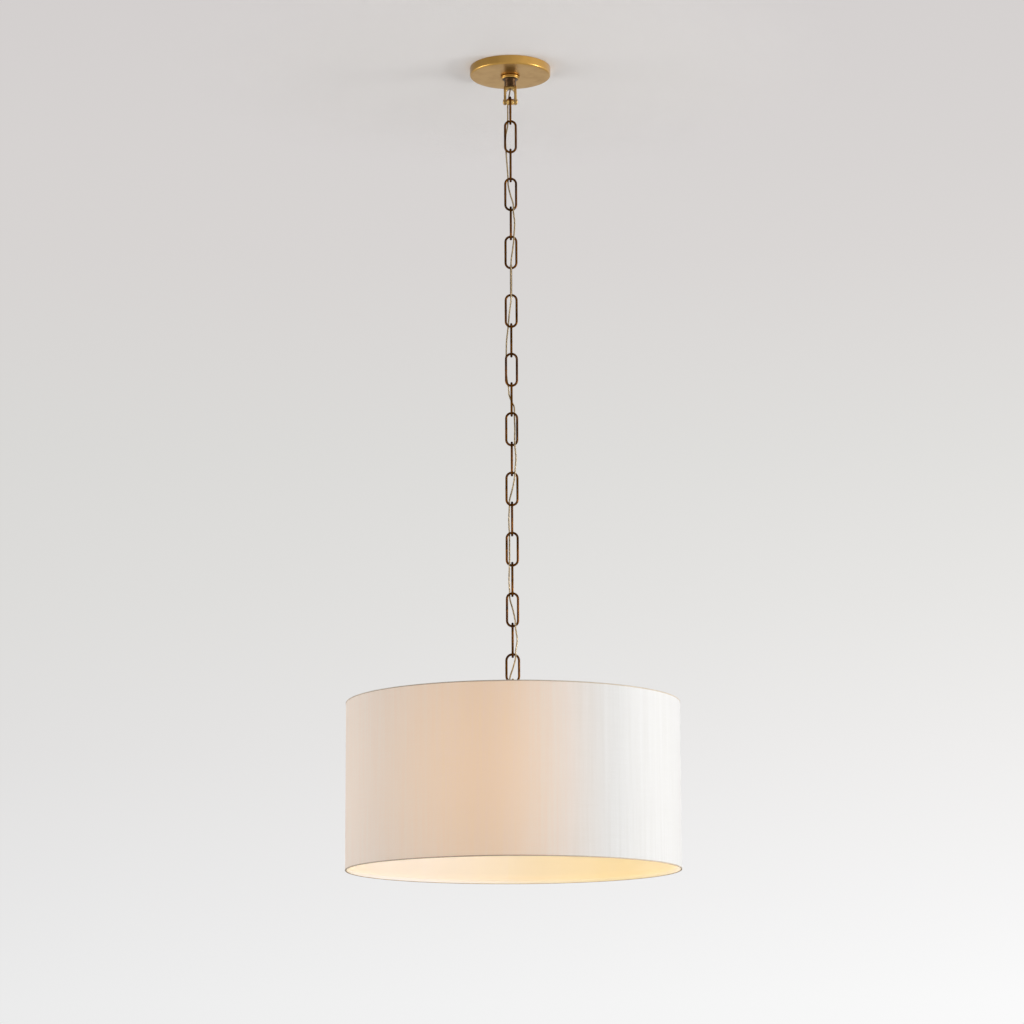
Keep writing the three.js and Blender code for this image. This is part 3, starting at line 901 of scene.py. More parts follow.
    def face_out(self, outwards: bool) -> "Shape":
        """Points the faces of an open skin away from the hanging axis, or towards it.

        Args:
            outwards: True for away.

        Returns:
            The same shape.
        """
        self.bm.normal_update()
        away = [f.normal.xy.dot(f.calc_center_median().xy) > 0 for f in self.bm.faces]
        wrong = [face for face, out in zip(self.bm.faces, away) if out != outwards]
        bmesh.ops.reverse_faces(self.bm, faces=wrong)
        return self

    def _unroll(self) -> None:
        """Gives each face its place on the unrolled surface."""
        layer = self.bm.loops.layers.uv.new("cloth")
        for face in self.bm.faces:
            turns = [loop.vert[self.turn] for loop in face.loops]
            wraps = max(turns) - min(turns) > 0.5
            for loop, turn in zip(face.loops, turns):
                turn += 1.0 if wraps and turn < 0.5 else 0.0
                loop[layer].uv = (turn * self.round_length, loop.vert[self.along])

    def piece(
        self, name: str, finish: Finish, body: str | None, node: str | None = None, recalculate: bool = True,
        crease: float = 40.0,
    ) -> bpy.types.Object:
        """Finishes the mesh as a piece of the light.

        Args:
            name: The piece's name.
            finish: What it wears.
            body: The body that it rides on, or None to leave it unattached.
            node: The solid that it stands for, if any.
            recalculate: True where every form in it is closed.
            crease: The least angle in degrees that stays sharp.

        Returns:
            The new object.
        """
        if recalculate:
            bmesh.ops.recalc_face_normals(self.bm, faces=self.bm.faces)
        self._unroll()
        bmesh.ops.scale(self.bm, vec=(MM,) * 3, verts=self.bm.verts)
        mesh = as_mesh(name, self.bm)
        mesh.shade_smooth()
        mesh.set_sharp_from_angle(angle=math.radians(crease))
        made = added(name, mesh)
        dress(made, finish)
        if node:
            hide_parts(node)
        if body is not None:
            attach(made, body)
        log.info("%s: %d faces, %s", name, len(mesh.polygons), finish.name)
        return made


def as_mesh(name: str, bm: bmesh.types.BMesh) -> bpy.types.Mesh:
    """Turns a bmesh into a mesh and frees it.

    Args:
        name: The mesh's name.
        bm: The bmesh.

    Returns:
        The mesh.
    """
    mesh = bpy.data.meshes.new(name)
    bm.to_mesh(mesh)
    bm.free()
    return mesh


def added(name: str, data: bpy.types.ID, place: Matrix = STILL) -> bpy.types.Object:
    """Adds an object to the scene.

    Args:
        name: The object's name.
        data: Its mesh, lamp or camera.
        place: Where it stands.

    Returns:
        The object.
    """
    made = bpy.data.objects.new(name, data)
    made.matrix_world = place
    bpy.context.scene.collection.objects.link(made)
    return made


def dress(obj: bpy.types.Object, finish: Finish) -> None:
    """Gives a piece or a carried-over solid its finish.

    Args:
        obj: The piece.
        finish: What it wears.
    """
    obj.data.materials.clear()
    obj.data.materials.append(finish.material())


# Studio


@dataclass
class Studio:
    """The camera at the photograph's place, the lamps, the pale world and its ceiling and floor."""

    lens: float = 113.0
    pitch: float = 11.146
    roll: float = -0.25
    camera_place: Place = (-0.0001, -4.369, -1.5051)
    floor_height: float = -2.4
    floor_reach: float = 60.0
    ceiling_reach: float = 0.5
    ceiling_glow: float = 0.115
    ambient: float = 0.11
    dark_side: float = 0.25
    front_gloss: float = 0.15
    right_gloss: float = 0.5
    lamps_aim: Place = (0.0, 0.0, -0.9)
    lamps: tuple[tuple[str, Place, float, float, bool], ...] = (
        ("key_lamp", (2.6, -0.50, -0.70), 0.85, 44.5, True),
        ("left_lamp", (-2.4, -0.2, -0.9), 1.4, 29.0, True),
        ("front_lamp", (1.57, -2.08, -0.7), 1.0, 19.5, False),
        ("back_lamp", (0.4, 2.6, -0.7), 1.4, 20.0, False),
    )
    sky: tuple[tuple[float, Colour], ...] = (
        (0.043, (0.897, 0.897, 0.897)),
        (0.074, (0.862, 0.858, 0.858)),
        (0.120, (0.812, 0.803, 0.797)),
        (0.166, (0.764, 0.756, 0.742)),
        (0.212, (0.724, 0.716, 0.700)),
        (0.270, (0.692, 0.668, 0.657)),
        (0.345, (0.660, 0.632, 0.625)),
    )

    def camera(self) -> None:
        """Places the camera."""
        data = bpy.data.cameras.new("camera")
        data.lens, data.sensor_width, data.clip_end = self.lens, 36.0, 100.0
        tilt = Matrix.Rotation(math.radians(90 + self.pitch), 4, "X")
        roll = Matrix.Rotation(math.radians(self.roll), 4, "Z")
        bpy.context.scene.camera = added("camera", data, Matrix.Translation(self.camera_place) @ tilt @ roll)
        bpy.context.scene.view_settings.view_transform = "Standard"

    def seen(self, recipe: Recipe) -> Flow:
        """1 for rays that see the background: from the camera, and in gloss and glass.

        Args:
            recipe: The tree.

        Returns:
            The share.
        """
        rays = recipe.node("ShaderNodeLightPath").socket.node.outputs
        camera, glossy, through = (
            Flow(recipe.tree, rays[f"Is {way} Ray"]) for way in ("Camera", "Glossy", "Transmission")
        )
        return camera.above(glossy).above(through)

    def world(self) -> None:
        """A pale world, a little darker overhead and to the left, and an even light from it."""
        world = bpy.data.worlds.new("pale_world")
        bpy.context.scene.world = world
        recipe = Recipe(world)
        x, y, z = recipe.parts(recipe.node("ShaderNodeTexCoord", output="Generated"))
        low, span = self.sky[0][0], self.sky[-1][0] - self.sky[0][0]
        colour = recipe.node("ShaderNodeValToRGB", inputs={"Fac": (z - low) / span})
        stops = colour.socket.node.color_ramp.elements
        while len(stops) < len(self.sky):
            stops.new(0.5)
        for stop, (place, shade) in zip(stops, self.sky):
            stop.position, stop.color = (place - low) / span, (*shade, 1.0)
        slope = (0.70 - z * 2.17).above(0.05).below(0.44)
        gloss = recipe.node("ShaderNodeLightPath", output="Is Glossy Ray")
        dark = (1.0 - x.step(-0.6, -0.05)) * self.dark_side
        bright = (1.0 - y.step(-0.7, 0.1)) * self.front_gloss + x.step(0.05, 0.7) * self.right_gloss
        side = (x.above(-0.16).below(0.16) * slope + 1.0) * (gloss * (bright - dark) + 1.0)
        seen = recipe.node("ShaderNodeBackground", inputs={"Color": colour, "Strength": side})
        even = {"Color": (1.0, 0.99, 0.975), "Strength": self.ambient}
        light = recipe.node("ShaderNodeBackground", inputs=even)
        surface = recipe.blended(self.seen(recipe), light, seen)
        recipe.node("ShaderNodeOutputWorld", inputs={"Surface": surface})

    def hang_lamps(self) -> None:
        """Hangs the soft white lamps, which face the shade; metal mirrors two of them."""
        for name, place, size, power, in_gloss in self.lamps:
            data = bpy.data.lights.new(name, "AREA")
            data.size, data.energy = size, power
            facing = (Vector(place) - Vector(self.lamps_aim)).to_track_quat("Z", "Y")
            made = added(name, data, Matrix.Translation(place) @ facing.to_matrix().to_4x4())
            made.visible_glossy = in_gloss

    def ceiling(self) -> None:
        """A patch of ceiling that takes the canopy's shadow and dissolves into the pale world."""
        made, recipe = self._disc("ceiling_patch", "ceiling_paint", self.ceiling_reach, 0.0005, -1)
        made.visible_glossy = False
        x, y, _ = recipe.parts(recipe.point())
        away = recipe.from_axis(x, y).step(self.ceiling_reach * 0.35, self.ceiling_reach)
        grains = recipe.node(
            "ShaderNodeTexWhiteNoise", {"noise_dimensions": "3D"}, {"Vector": recipe.point()}
        )
        paint = recipe.coated({
            "Base Color": (0.8, 0.78, 0.77), "Specular IOR Level": 0.0,
            "Emission Color": (1.0, 0.965, 0.95), "Emission Strength": self.ceiling_glow,
        })
        self._from_one_side(recipe, grains.under(away), paint)

    def floor(self) -> None:
        """A wide pale floor."""
        _, recipe = self._disc("floor", "floor_paint", self.floor_reach, self.floor_height, 1)
        paint = recipe.node("ShaderNodeBsdfDiffuse", inputs={"Color": (0.72, 0.71, 0.70)})
        seen = recipe.node("ShaderNodeEmission", inputs={"Color": (0.88, 0.88, 0.875), "Strength": 1.0})
        self._from_one_side(recipe, 0.0, recipe.blended(self.seen(recipe) * 0.9, paint, seen))

    @staticmethod
    def _from_one_side(recipe: Recipe, gone: Number, paint: Flow) -> None:
        """Ends a stage material that is clear from behind.

        Args:
            recipe: The tree.
            gone: 1 where it is clear from the front too.
            paint: The surface.
        """
        back = recipe.node("ShaderNodeNewGeometry", output="Backfacing")
        clear = recipe.node("ShaderNodeBsdfTransparent")
        surface = recipe.blended(back.above(gone), paint, clear)
        recipe.node("ShaderNodeOutputMaterial", inputs={"Surface": surface})

    @staticmethod
    def _disc(
        name: str, paint: str, radius: float, height: float, way: int
    ) -> tuple[bpy.types.Object, Recipe]:
        """A flat stage disc.

        Args:
            name: Its name.
            paint: Its material's name.
            radius: Its radius in metres.
            height: Its height in metres.
            way: 1 where it faces up, -1 where it faces down.

        Returns:
            The disc, and its material's empty tree.
        """
        bm = bmesh.new()
        bmesh.ops.create_circle(bm, cap_ends=True, radius=radius, segments=96)
        bmesh.ops.translate(bm, vec=(0, 0, height), verts=bm.verts)
        if way * bm.faces[:][0].normal.z < 0:
            bmesh.ops.reverse_faces(bm, faces=bm.faces)
        made = added(name, as_mesh(name, bm))
        material = bpy.data.materials.new(paint)
        made.data.materials.append(material)
        return made, Recipe(material)

    def build(self) -> None:
        """Sets the whole studio."""
        for step in (self.camera, self.world, self.hang_lamps, self.ceiling, self.floor):
            step()
        log.info("studio set")


# Pieces that ride together


@dataclass
class Assembly:
    """A sub-assembly: its pieces ride on one body unless they say otherwise."""

    body: str
    tube_radius: float = 4.8
    tube_bore: float = 3.2
    thread_depth: float = 0.4
    thread_pitch: float = 0.94

    def threaded_tube(self, name: str, node: str, nut: str, top: float, foot: float) -> None:
        """Makes a short length of threaded lamp tube, and its nut.

        Args:
            name: The tube's name.
            node: The solid that the tube stands for.
            nut: The solid that the nut stands for.
            top: Height of the tube's upper end.
            foot: Height of its lower end.
        """
        end, crest = self.tube_radius - 0.6, self.tube_radius - 0.35
        side = [(end, foot), (crest, foot + 0.4), (crest, top - 0.4), (end, top)]
        tube = Shape().lathe(bored(self.tube_bore, foot, top, side), 40)
        tube.helix(self.tube_radius, self.thread_depth, self.thread_pitch, top - 0.2, top - foot - 0.6)
        tube.piece(name, Finishes.ZINC, self.body, node)
        Shape().copied(nut).soften(Round(0.4)).piece(f"{name}_nut", Finishes.ZINC, self.body, nut)


# Ceiling mount


@dataclass
class CeilingMount(Assembly):
    """Canopy, its ring, the yoke with sleeve and pin, and the bracket and screws inside the canopy."""

    body: str = "ceiling_mount"
    canopy_radius: float = 57.15
    canopy_height: float = 12.7
    canopy_wall: float = 0.9
    canopy_edge: float = 2.4
    canopy_hole: float = 11.3
    ring_radius: float = 13.5
    ring_bore: float = 11.0
    ring_top: float = -13.0
    ring_bottom: float = -17.3
    collar_radius: float = 10.7
    collar_top: float = -8.0
    collar_depth: float = 8.3
    hub_radius: float = 8.1
    hub_bottom: float = -28.3
    hub_bore: float = 5.1
    crown: float = -31.7
    half_width: float = 9.2
    leg: float = 3.7
    shoulder: float = 4.0
    depth: float = 9.0
    sleeve_centre: float = -50.4
    sleeve_radius: float = 4.3
    pin_radius: float = 2.6
    pin_head: float = 4.0
    screw_spacing: float = 88.9
    screw_radius: float = 2.05
    screw_length: float = 9.0
    ground_place: float = 22.0
    tube_top: float = 8.0
    tube_bottom: float = -16.0
    nut_spread: float = 7.6
    nut_foot: float = 14.5
    nut_top: float = 31.5

    def canopy(self) -> None:
        """The spun pan: rolled lower edge, open top with a small flange."""
        radius, wall, hole, roll = self.canopy_radius, self.canopy_wall, self.canopy_hole, self.canopy_edge
        edge, floor = radius - roll, -self.canopy_height
        bend = (edge, floor + roll)
        section = [
            (hole + 0.3, floor), (hole + 9, floor), (edge - 12, floor), *arc(bend, roll, -90, 0, 8),
            (radius, -5), (radius, -0.3), (radius - 0.3, 0), (radius - wall, 0), (radius - wall, -5),
            *arc(bend, roll - wall, 0, -90, 6), (edge - 12, floor + wall), (hole + 9, floor + wall),
            (hole, floor + wall), (hole, floor + 0.3),
        ]
        Shape().lathe(section, 144).piece("canopy_pan", Finishes.SATIN_BRASS, "canopy", "canopy")

    def ring(self) -> None:
        """The ring that holds the canopy up, with a fine groove round its side."""
        radius, top, low = self.ring_radius, self.ring_top, self.ring_bottom
        middle = (top + low) / 2
        side = [
            *arc((radius - 1.2, low + 1.2), 1.2, -90, 0, 5), (radius, middle - 0.3), (radius - 0.25, middle),
            (radius, middle + 0.3), *arc((radius - 0.8, top - 0.8), 0.8, 0, 90, 5),
        ]
        section = bored(self.ring_bore, low, top, side)
        Shape().lathe(section, 96).piece("ring_nut", Finishes.SATIN_BRASS, "canopy_ring", "canopy_ring")

    def yoke(self) -> None:
        """Collar and hub turned, arch with two legs, and a boss at each leg's end."""
        radius, foot, collar, bore = self.hub_radius, self.hub_bottom, self.collar_radius, self.hub_bore
        low, top = self.ring_bottom, self.collar_top
        hub = [
            (0, foot - 0.2), (radius - 0.8, foot - 0.2), (radius, foot + 0.8), (radius, low - 1.2),
            (radius + 0.8, low - 0.2), (collar - 0.4, low), (collar, low + 0.4), (collar, top - 0.5),
            (collar - 0.5, top), (bore, top), (bore, top - self.collar_depth), (0, top - self.collar_depth),
        ]
        stem = Shape().lathe(hub, 64, False).helix(radius + 0.25, 0.35, 1.1, low - 1.4, 9.6, 48)
        stem.piece("yoke_collar", Finishes.DARK_BRASS, self.body, "yoke")
        half, leg, bend, tip = self.half_width, self.leg, self.shoulder, self.sleeve_centre
        inner = half - leg
        spring, shoulder = self.crown - inner, foot - bend / 2
        outline = [
            (-half, tip), (-inner, tip), (-inner, spring), *arc((0, spring), inner, 172, 8, 12),
            (inner, spring), (inner, tip), (half, tip), *arc((half - bend, shoulder), bend, 0, 90, 6),
            *arc((bend - half, shoulder), bend, 90, 180, 6),
        ]
        shape = Shape().outline(outline, self.depth).soften(Round(1.25, 4, 50))
        side, ease = self.depth / 2 - 0.9, leg / 2 - 0.9
        boss = [
            (0, -leg / 2), *arc((side, -ease), 0.9, -90, 0, 3), *arc((side, ease), 0.9, 0, 90, 3),
            (0, leg / 2),
        ]
        for way in (-1, 1):
            shape.lathe(boss, 32, False, Matrix.Translation((way * (half - leg / 2), 0, 0)) @ lying(tip))
        shape.piece("yoke_casting", Finishes.CAST_BRASS, self.body, "yoke")

    def pin(self) -> None:
        """The sleeve that the first link hangs on, and the riveted pin through it."""
        pin, head, place = self.pin_radius, self.pin_head, lying(self.sleeve_centre)
        span, edge = self.half_width - self.leg - 0.3, self.sleeve_radius - 0.6
        side = [*arc((edge, -span + 0.6), 0.6, -90, 0, 4), *arc((edge, span - 0.6), 0.6, 0, 90, 4)]
        bush = bored(pin + 0.3, -span, span, side)
        Shape().lathe(bush, place=place).piece("yoke_bush", Finishes.BRIGHT_BRASS, self.body, "yoke_sleeve")
        seat = self.half_width + 0.15
        crown = ((0.6, -seat - 1.15), (2.6, -seat - 1.1), (3.8, -seat - 0.8), (head, -seat - 0.3))
        dome = [(0, -seat - 1.15), *bezier(crown), (head, -seat), (pin, -seat)]
        rivet = [*dome, *((r, -z) for r, z in reversed(dome))]
        shape = Shape().lathe(rivet, 40, False, place)
        shape.piece("yoke_rivet", Finishes.BRIGHT_BRASS, self.body, "yoke_pin")

    def bracket(self) -> None:
        """Crossbar, its screws, the threaded tube and its nut."""
        shape = Shape().copied("crossbar").soften(Round(0.35))
        shape.piece("crossbar_plate", Finishes.ZINC, self.body, "crossbar")
        for index, way in enumerate((-1, 1)):
            self.screw(f"box_screw_{index + 1}", Matrix.Translation((way * self.screw_spacing / 2, 0, 0)))
        ground = [
            (0, -4.9), (2.6, -4.9), (2.9, -4.4), (2.9, -4.0), (4.0, -4.0), (4.4, -3.6), (4.4, -2.6),
            (4.0, -2.3), (1.8, -2.3), (1.8, 3.1), (1.4, 3.5), (0, 3.5),
        ]
        place = Matrix.Translation((self.ground_place, 0, 0))
        shape = Shape().lathe(ground, closed=False, place=place)
        shape.piece("ground_terminal", Finishes.GREEN_ZINC, self.body, "ground_screw")
        self.threaded_tube("upper_tube", "upper_nipple", "nipple_nut", self.tube_top, self.tube_bottom)

    def screw(self, node: str, place: Matrix) -> None:
        """One pan-head screw with a recess for the driver and a rolled thread.

        Args:
            node: The solid that it stands for.
            place: Where it goes.
        """
        top, low, r, tip = -2.3, -4.5, self.screw_radius, self.screw_length
        crown = ((1.5, low), (3.0, low), (3.8, low + 0.5), (4.0, top - 0.5))
        section = [
            (0, low + 0.9), (0.5, low + 0.8), (1.3, low + 0.05), *bezier(crown), (4.0, top),
            (r - 0.3, top), (r - 0.3, tip - 0.6), (r - 0.7, tip), (0, tip),
        ]
        shape = Shape().lathe(section, 32, False, place).helix(r, 0.3, 0.8, tip - 0.2, 9.6, 16, place)
        shape.piece(f"{node}_threaded", Finishes.ZINC, self.body, node)

    def caps(self) -> None:
        """The two twist-on caps, ribbed round their sides."""
        foot, top = self.nut_foot, self.nut_top
        section = [
            (0, top - 8), (1.8, top - 8), (1.8, foot + 0.3), (2.1, foot), (5.2, foot), (5.55, foot + 0.5),
            (5.6, foot + 2.2), (5.1, foot + 3.0), (3.7, top - 2.0), (3.3, top - 0.8), (2.5, top - 0.1),
            (0, top),
        ]
        for index, way in enumerate((-1, 1)):
            shape = Shape().lathe(section, 48, False)
            ribs = [
                v for v in shape.bm.verts
                if foot + 2.5 < v.co.z < top - 1.5 and v.co.xy.length > 3
                and round(v[shape.turn] * 48) % 4 < 2
            ]
            bmesh.ops.scale(shape.bm, vec=(1.07, 1.07, 1), verts=ribs)
            bmesh.ops.translate(shape.bm, vec=(way * self.nut_spread, 0, 0), verts=shape.bm.verts)
            shape.piece(f"splice_cap_{index + 1}", Finishes.ORANGE, self.body, f"wire_nut_{index + 1}")

    def build(self) -> None:
        """Builds every piece of the mount."""
        for step in (self.canopy, self.ring, self.yoke, self.pin, self.bracket, self.caps):
            step()


# Chain


@dataclass
class Chain:
    """Twenty oval links of round wire, each hung in the one above."""

    count: int = 20
    wire: float = 3.2
    width: float = 18.4
    length: float = 49.18
    first_length: float = 41.4
    last_width: float = 20.5
    last_length: float = 42.3
    sleeve_centre: float = -50.4
    sleeve_top: float = -46.1
    fit: float = 0.3
    joint_side: float = 1.2
    joint: Profile = ((0.8, 1.07), (0.3, 1.0), (0.1, 0.86), (0.1, 1 / 0.86), (0.3, 1.0), (0.8, 1 / 1.07))
    tops: list[float] = field(default_factory=list)
    seats: list[float] = field(default_factory=list)

    def __post_init__(self) -> None:
        """Works out the heights: each link hangs by its inside on the wire of the one above."""
        seat = self.sleeve_top
        for k in range(1, self.count + 1):
            top = seat + self.fit + self.wire
            seat = top - self.size(k)[1] + self.wire
            self.tops.append(top)
            self.seats.append(seat)

    def size(self, k: int) -> tuple[float, float]:
        """A link's width and length."""
        own = {1: (self.width, self.first_length), self.count: (self.last_width, self.last_length)}
        return own.get(k, (self.width, self.length))

    def pivot(self, k: int) -> float:
        """Height about which link k swings; the shade is link 21."""
        return self.sleeve_centre if k == 1 else self.seats[k - 2] - self.wire / 2

    def link(self, k: int) -> None:
        """One link: a section drawn up a leg, round the end, down and round again, with its closed joint.

        Args:
            k: Its number, from the top.
        """
        width, length = self.size(k)
        r, half = self.wire / 2, (length - width) / 2
        shape = Shape()
        ring = bmesh.ops.create_circle(shape.bm, cap_ends=False, radius=r, segments=16)["verts"]
        bmesh.ops.translate(shape.bm, vec=(width / 2 - r, 0, -half), verts=ring)
        edges = list(shape.bm.edges)
        end = (half - self.joint_side, 1.0)
        for rise, scale in (end, *self.joint, end):
            edges = self._grow(shape.bm, edges, rise, scale)
        edges = self._bend(shape.bm, edges, half)
        for _ in range(2):
            edges = self._grow(shape.bm, edges, -half, 1.0)
        self._bend(shape.bm, edges, -half)
        bmesh.ops.remove_doubles(shape.bm, verts=shape.bm.verts, dist=0.01)
        turn = Matrix.Rotation(math.pi / 2 if k % 2 else math.pi, 4, "Z")
        place = Matrix.Translation((0, 0, self.tops[k - 1] - length / 2)) @ turn
        bmesh.ops.transform(shape.bm, matrix=place, verts=shape.bm.verts)
        name = f"link_{k:02d}"
        shape.piece(f"chain_{name}", Finishes.ANTIQUE_BRASS, name, name, crease=60)

    @staticmethod
    def _grow(bm: bmesh.types.BMesh, edges: list, rise: float, scale: float) -> list:
        """Draws an open section on along the leg.

        Args:
            bm: The link's mesh.
            edges: The section's edges.
            rise: How far it goes up.
            scale: Its new size against the old.

        Returns:
            The edges at the new end.
        """
        ring, edges = ring_of(bmesh.ops.extrude_edge_only(bm, edges=edges)["geom"])
        bmesh.ops.translate(bm, vec=(0, 0, rise), verts=ring)
        middle = sum((v.co for v in ring), Vector()) / len(ring)
        bmesh.ops.scale(bm, vec=(scale, scale, 1), verts=ring, space=Matrix.Translation(-middle))
        return edges

    @staticmethod
    def _bend(bm: bmesh.types.BMesh, edges: list, height: float) -> list:
        """Turns an open section half round.

        Args:
            bm: The link's mesh.
            edges: The section's edges.
            height: The height that it turns about.

        Returns:
            The edges at the new end.
        """
        verts = list({v for e in edges for v in e.verts})
        last = bmesh.ops.spin(
            bm, geom=verts + edges, cent=(0, 0, height), axis=DEEP, dvec=(0, 0, 0), angle=-math.pi,
            steps=14, use_merge=False, use_duplicate=False,
        )["geom_last"]
        return [g for g in last if isinstance(g, bmesh.types.BMEdge)]

    def build(self) -> None:
        """Builds every link."""
        for k in range(1, self.count + 1):
            self.link(k)


# Cord


@dataclass
class Cord:
    """The cord from its splices through the chain to the socket, in one span for each joint of the chain.

    The rows give the place on the chain, and how far the cord lies to the right and back in shares of aside.
    """

    chain: Chain
    radius: float = 1.1
    aside: float = 3.0
    rise: float = 9.5
    collar_top: float = -8.0
    hub_bottom: float = -28.3
    crown: float = -31.7
    loop_hub_top: float = -898.94
    loop_wire: float = 3.6
    tail: float = 9.0
    core_top: float = -946.54
    bend_reach: float = 11.0
    lead_radius: float = 0.8
    lead: Profile = ((0, -1), (0.55, 9.5), (7.6, 14.2), (7.6, 23.2))
    rows: tuple[Place, ...] = (
        (0.14, -1.15, 2.15), (0.5, -1.2, 1.6), (0.88, -1.25, 1.25), (1.12, -1.35, 1.2), (1.5, -2.3, 1.2),
        (2, -2.1, 1.2), (2.5, -1.6, 1.25), (2.88, -1.25, 1.25), (3.12, -1.2, 1.2), (3.5, -0.2, 0),
        (3.88, 1.2, -1.2), (4.12, 1.25, -1.25), (4.5, 1.8, -1.25), (5, 1.4, -1.25), (5.14, 1.3, -1.3),
        (5.5, 0.7, -2.2), (5.86, 0.1, -3.75), (6.5, 0, -3.8), (7.14, 0, -3.75), (7.5, -0.7, -1),
        (7.88, -1.3, 1.2), (8.12, -1.6, 1.25), (8.5, -2.2, 1.25), (9, -2.4, 1.25), (9.5, -2.5, 1.25),
        (9.9, -1.9, 1.25), (10.12, -1.35, 1.35), (10.3, -1.15, 2.6), (10.5, 0, 3.85), (10.7, 1.15, 2.6),
        (10.88, 1.3, 1.35), (11.12, 1.3, 1.2), (11.5, 1.45, 0), (11.88, 1.35, -1.2), (12.12, 1.5, -1.25),
        (12.5, 1.9, -1.25), (12.88, 1.5, -1.25), (13.12, 1.25, -1.2), (13.5, 0.2, 0), (13.88, -1.2, 1.2),
        (14.12, -1.25, 1.25), (14.5, -1.5, 1.25), (15, -1.3, 1.25), (15.14, -1.25, 1.2), (15.5, -1.25, 0),
        (15.86, -1.25, -1.2), (16.12, -1.35, -1.25), (16.5, -1.55, 0), (16.88, -1.3, 1.25),
        (17.12, -1.2, 1.2), (17.5, 0.2, 0), (17.88, 1.2, -1.2), (18.12, 1.4, -1.25), (18.5, 2.1, -1.25),
        (18.88, 1.4, -1.25), (19.12, 1.25, -1.2), (19.5, 0, 0), (19.84, -1.3, 1.25), (20.14, -1.3, 1.1),
    )

    def height(self, place: float) -> float:
        """Height of a place on the chain.

        Args:
            place: The place: 3 is where link 3 carries link 4.

        Returns:
            The height.
        """
        seats = [self.chain.sleeve_top, *self.chain.seats, self.loop_hub_top]
        k = int(place)
        return seats[k] + (seats[k + 1] - seats[k]) * (place - k)

    def route(self) -> list[Vector]:
        """The cord's whole way.

        Returns:
            Closely spaced places.
        """
        loop, core = self.loop_hub_top, self.core_top
        above = (self.rise, self.collar_top, self.hub_bottom, self.crown)
        below = (loop + self.loop_wire / 2, loop - self.tail, core + self.tail, core + 0.3)
        points = [
            *((0, 0, z) for z in above),
            *((x * self.aside, y * self.aside, self.height(k)) for k, x, y in self.rows),
            *((0, 0, z) for z in below),
        ]
        return Curve([Vector(p) for p in points]).sampled()

    def build(self) -> None:
        """Cuts the route midway between the chain's pivots into one span for each pivot, and adds the two
        leads.
        """
        route = self.route()
        count = self.chain.count
        pivots = [self.chain.pivot(k) for k in range(1, count + 2)]
        bodies = ["ceiling_mount", *(f"link_{k:02d}" for k in range(1, count + 1)), "shade"]
        cuts = [self.rise, *((a + b) / 2 for a, b in zip(pivots, pivots[1:])), self.core_top]
        for k, pivot in enumerate(pivots):
            path = self._between(route, cuts[k], cuts[k + 1])
            shape = Shape().tube(path, self.radius)
            made = shape.piece(f"cord_span_{k + 1:02d}", Finishes.CORD, None, "cord")
            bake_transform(made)
        for index, way in enumerate((-1, 1)):
            path = Curve([Vector((way * x, 0, z)) for x, z in self.lead]).sampled()
            Shape().tube(path, self.lead_radius).piece(f"lead_{index + 1}", Finishes.CORD, bodies[0], "cord")

    @staticmethod
    def _between(route: list[Vector], top: float, low: float) -> list[Vector]:
        """The stretch of the route between two heights, cut exactly there.

        Args:
            route: The whole route.
            top: The upper height.
            low: The lower height.

        Returns:
            The stretch, from the top down.
        """
        path = []
        for a, b in zip(route, route[1:]):
            for cut in (top, low):
                if a.z > cut > b.z:
                    path.append(a.lerp(b, (a.z - cut) / (a.z - b.z)))
            if low <= b.z <= top:
                path.append(b.copy())
        if abs(route[0].z - top) < 1e-6:
            path.insert(0, route[0].copy())
        path.sort(key=lambda p: -p.z)
        return [p for i, p in enumerate(path) if i == 0 or (p - path[i - 1]).length > 0.02]


# Shade


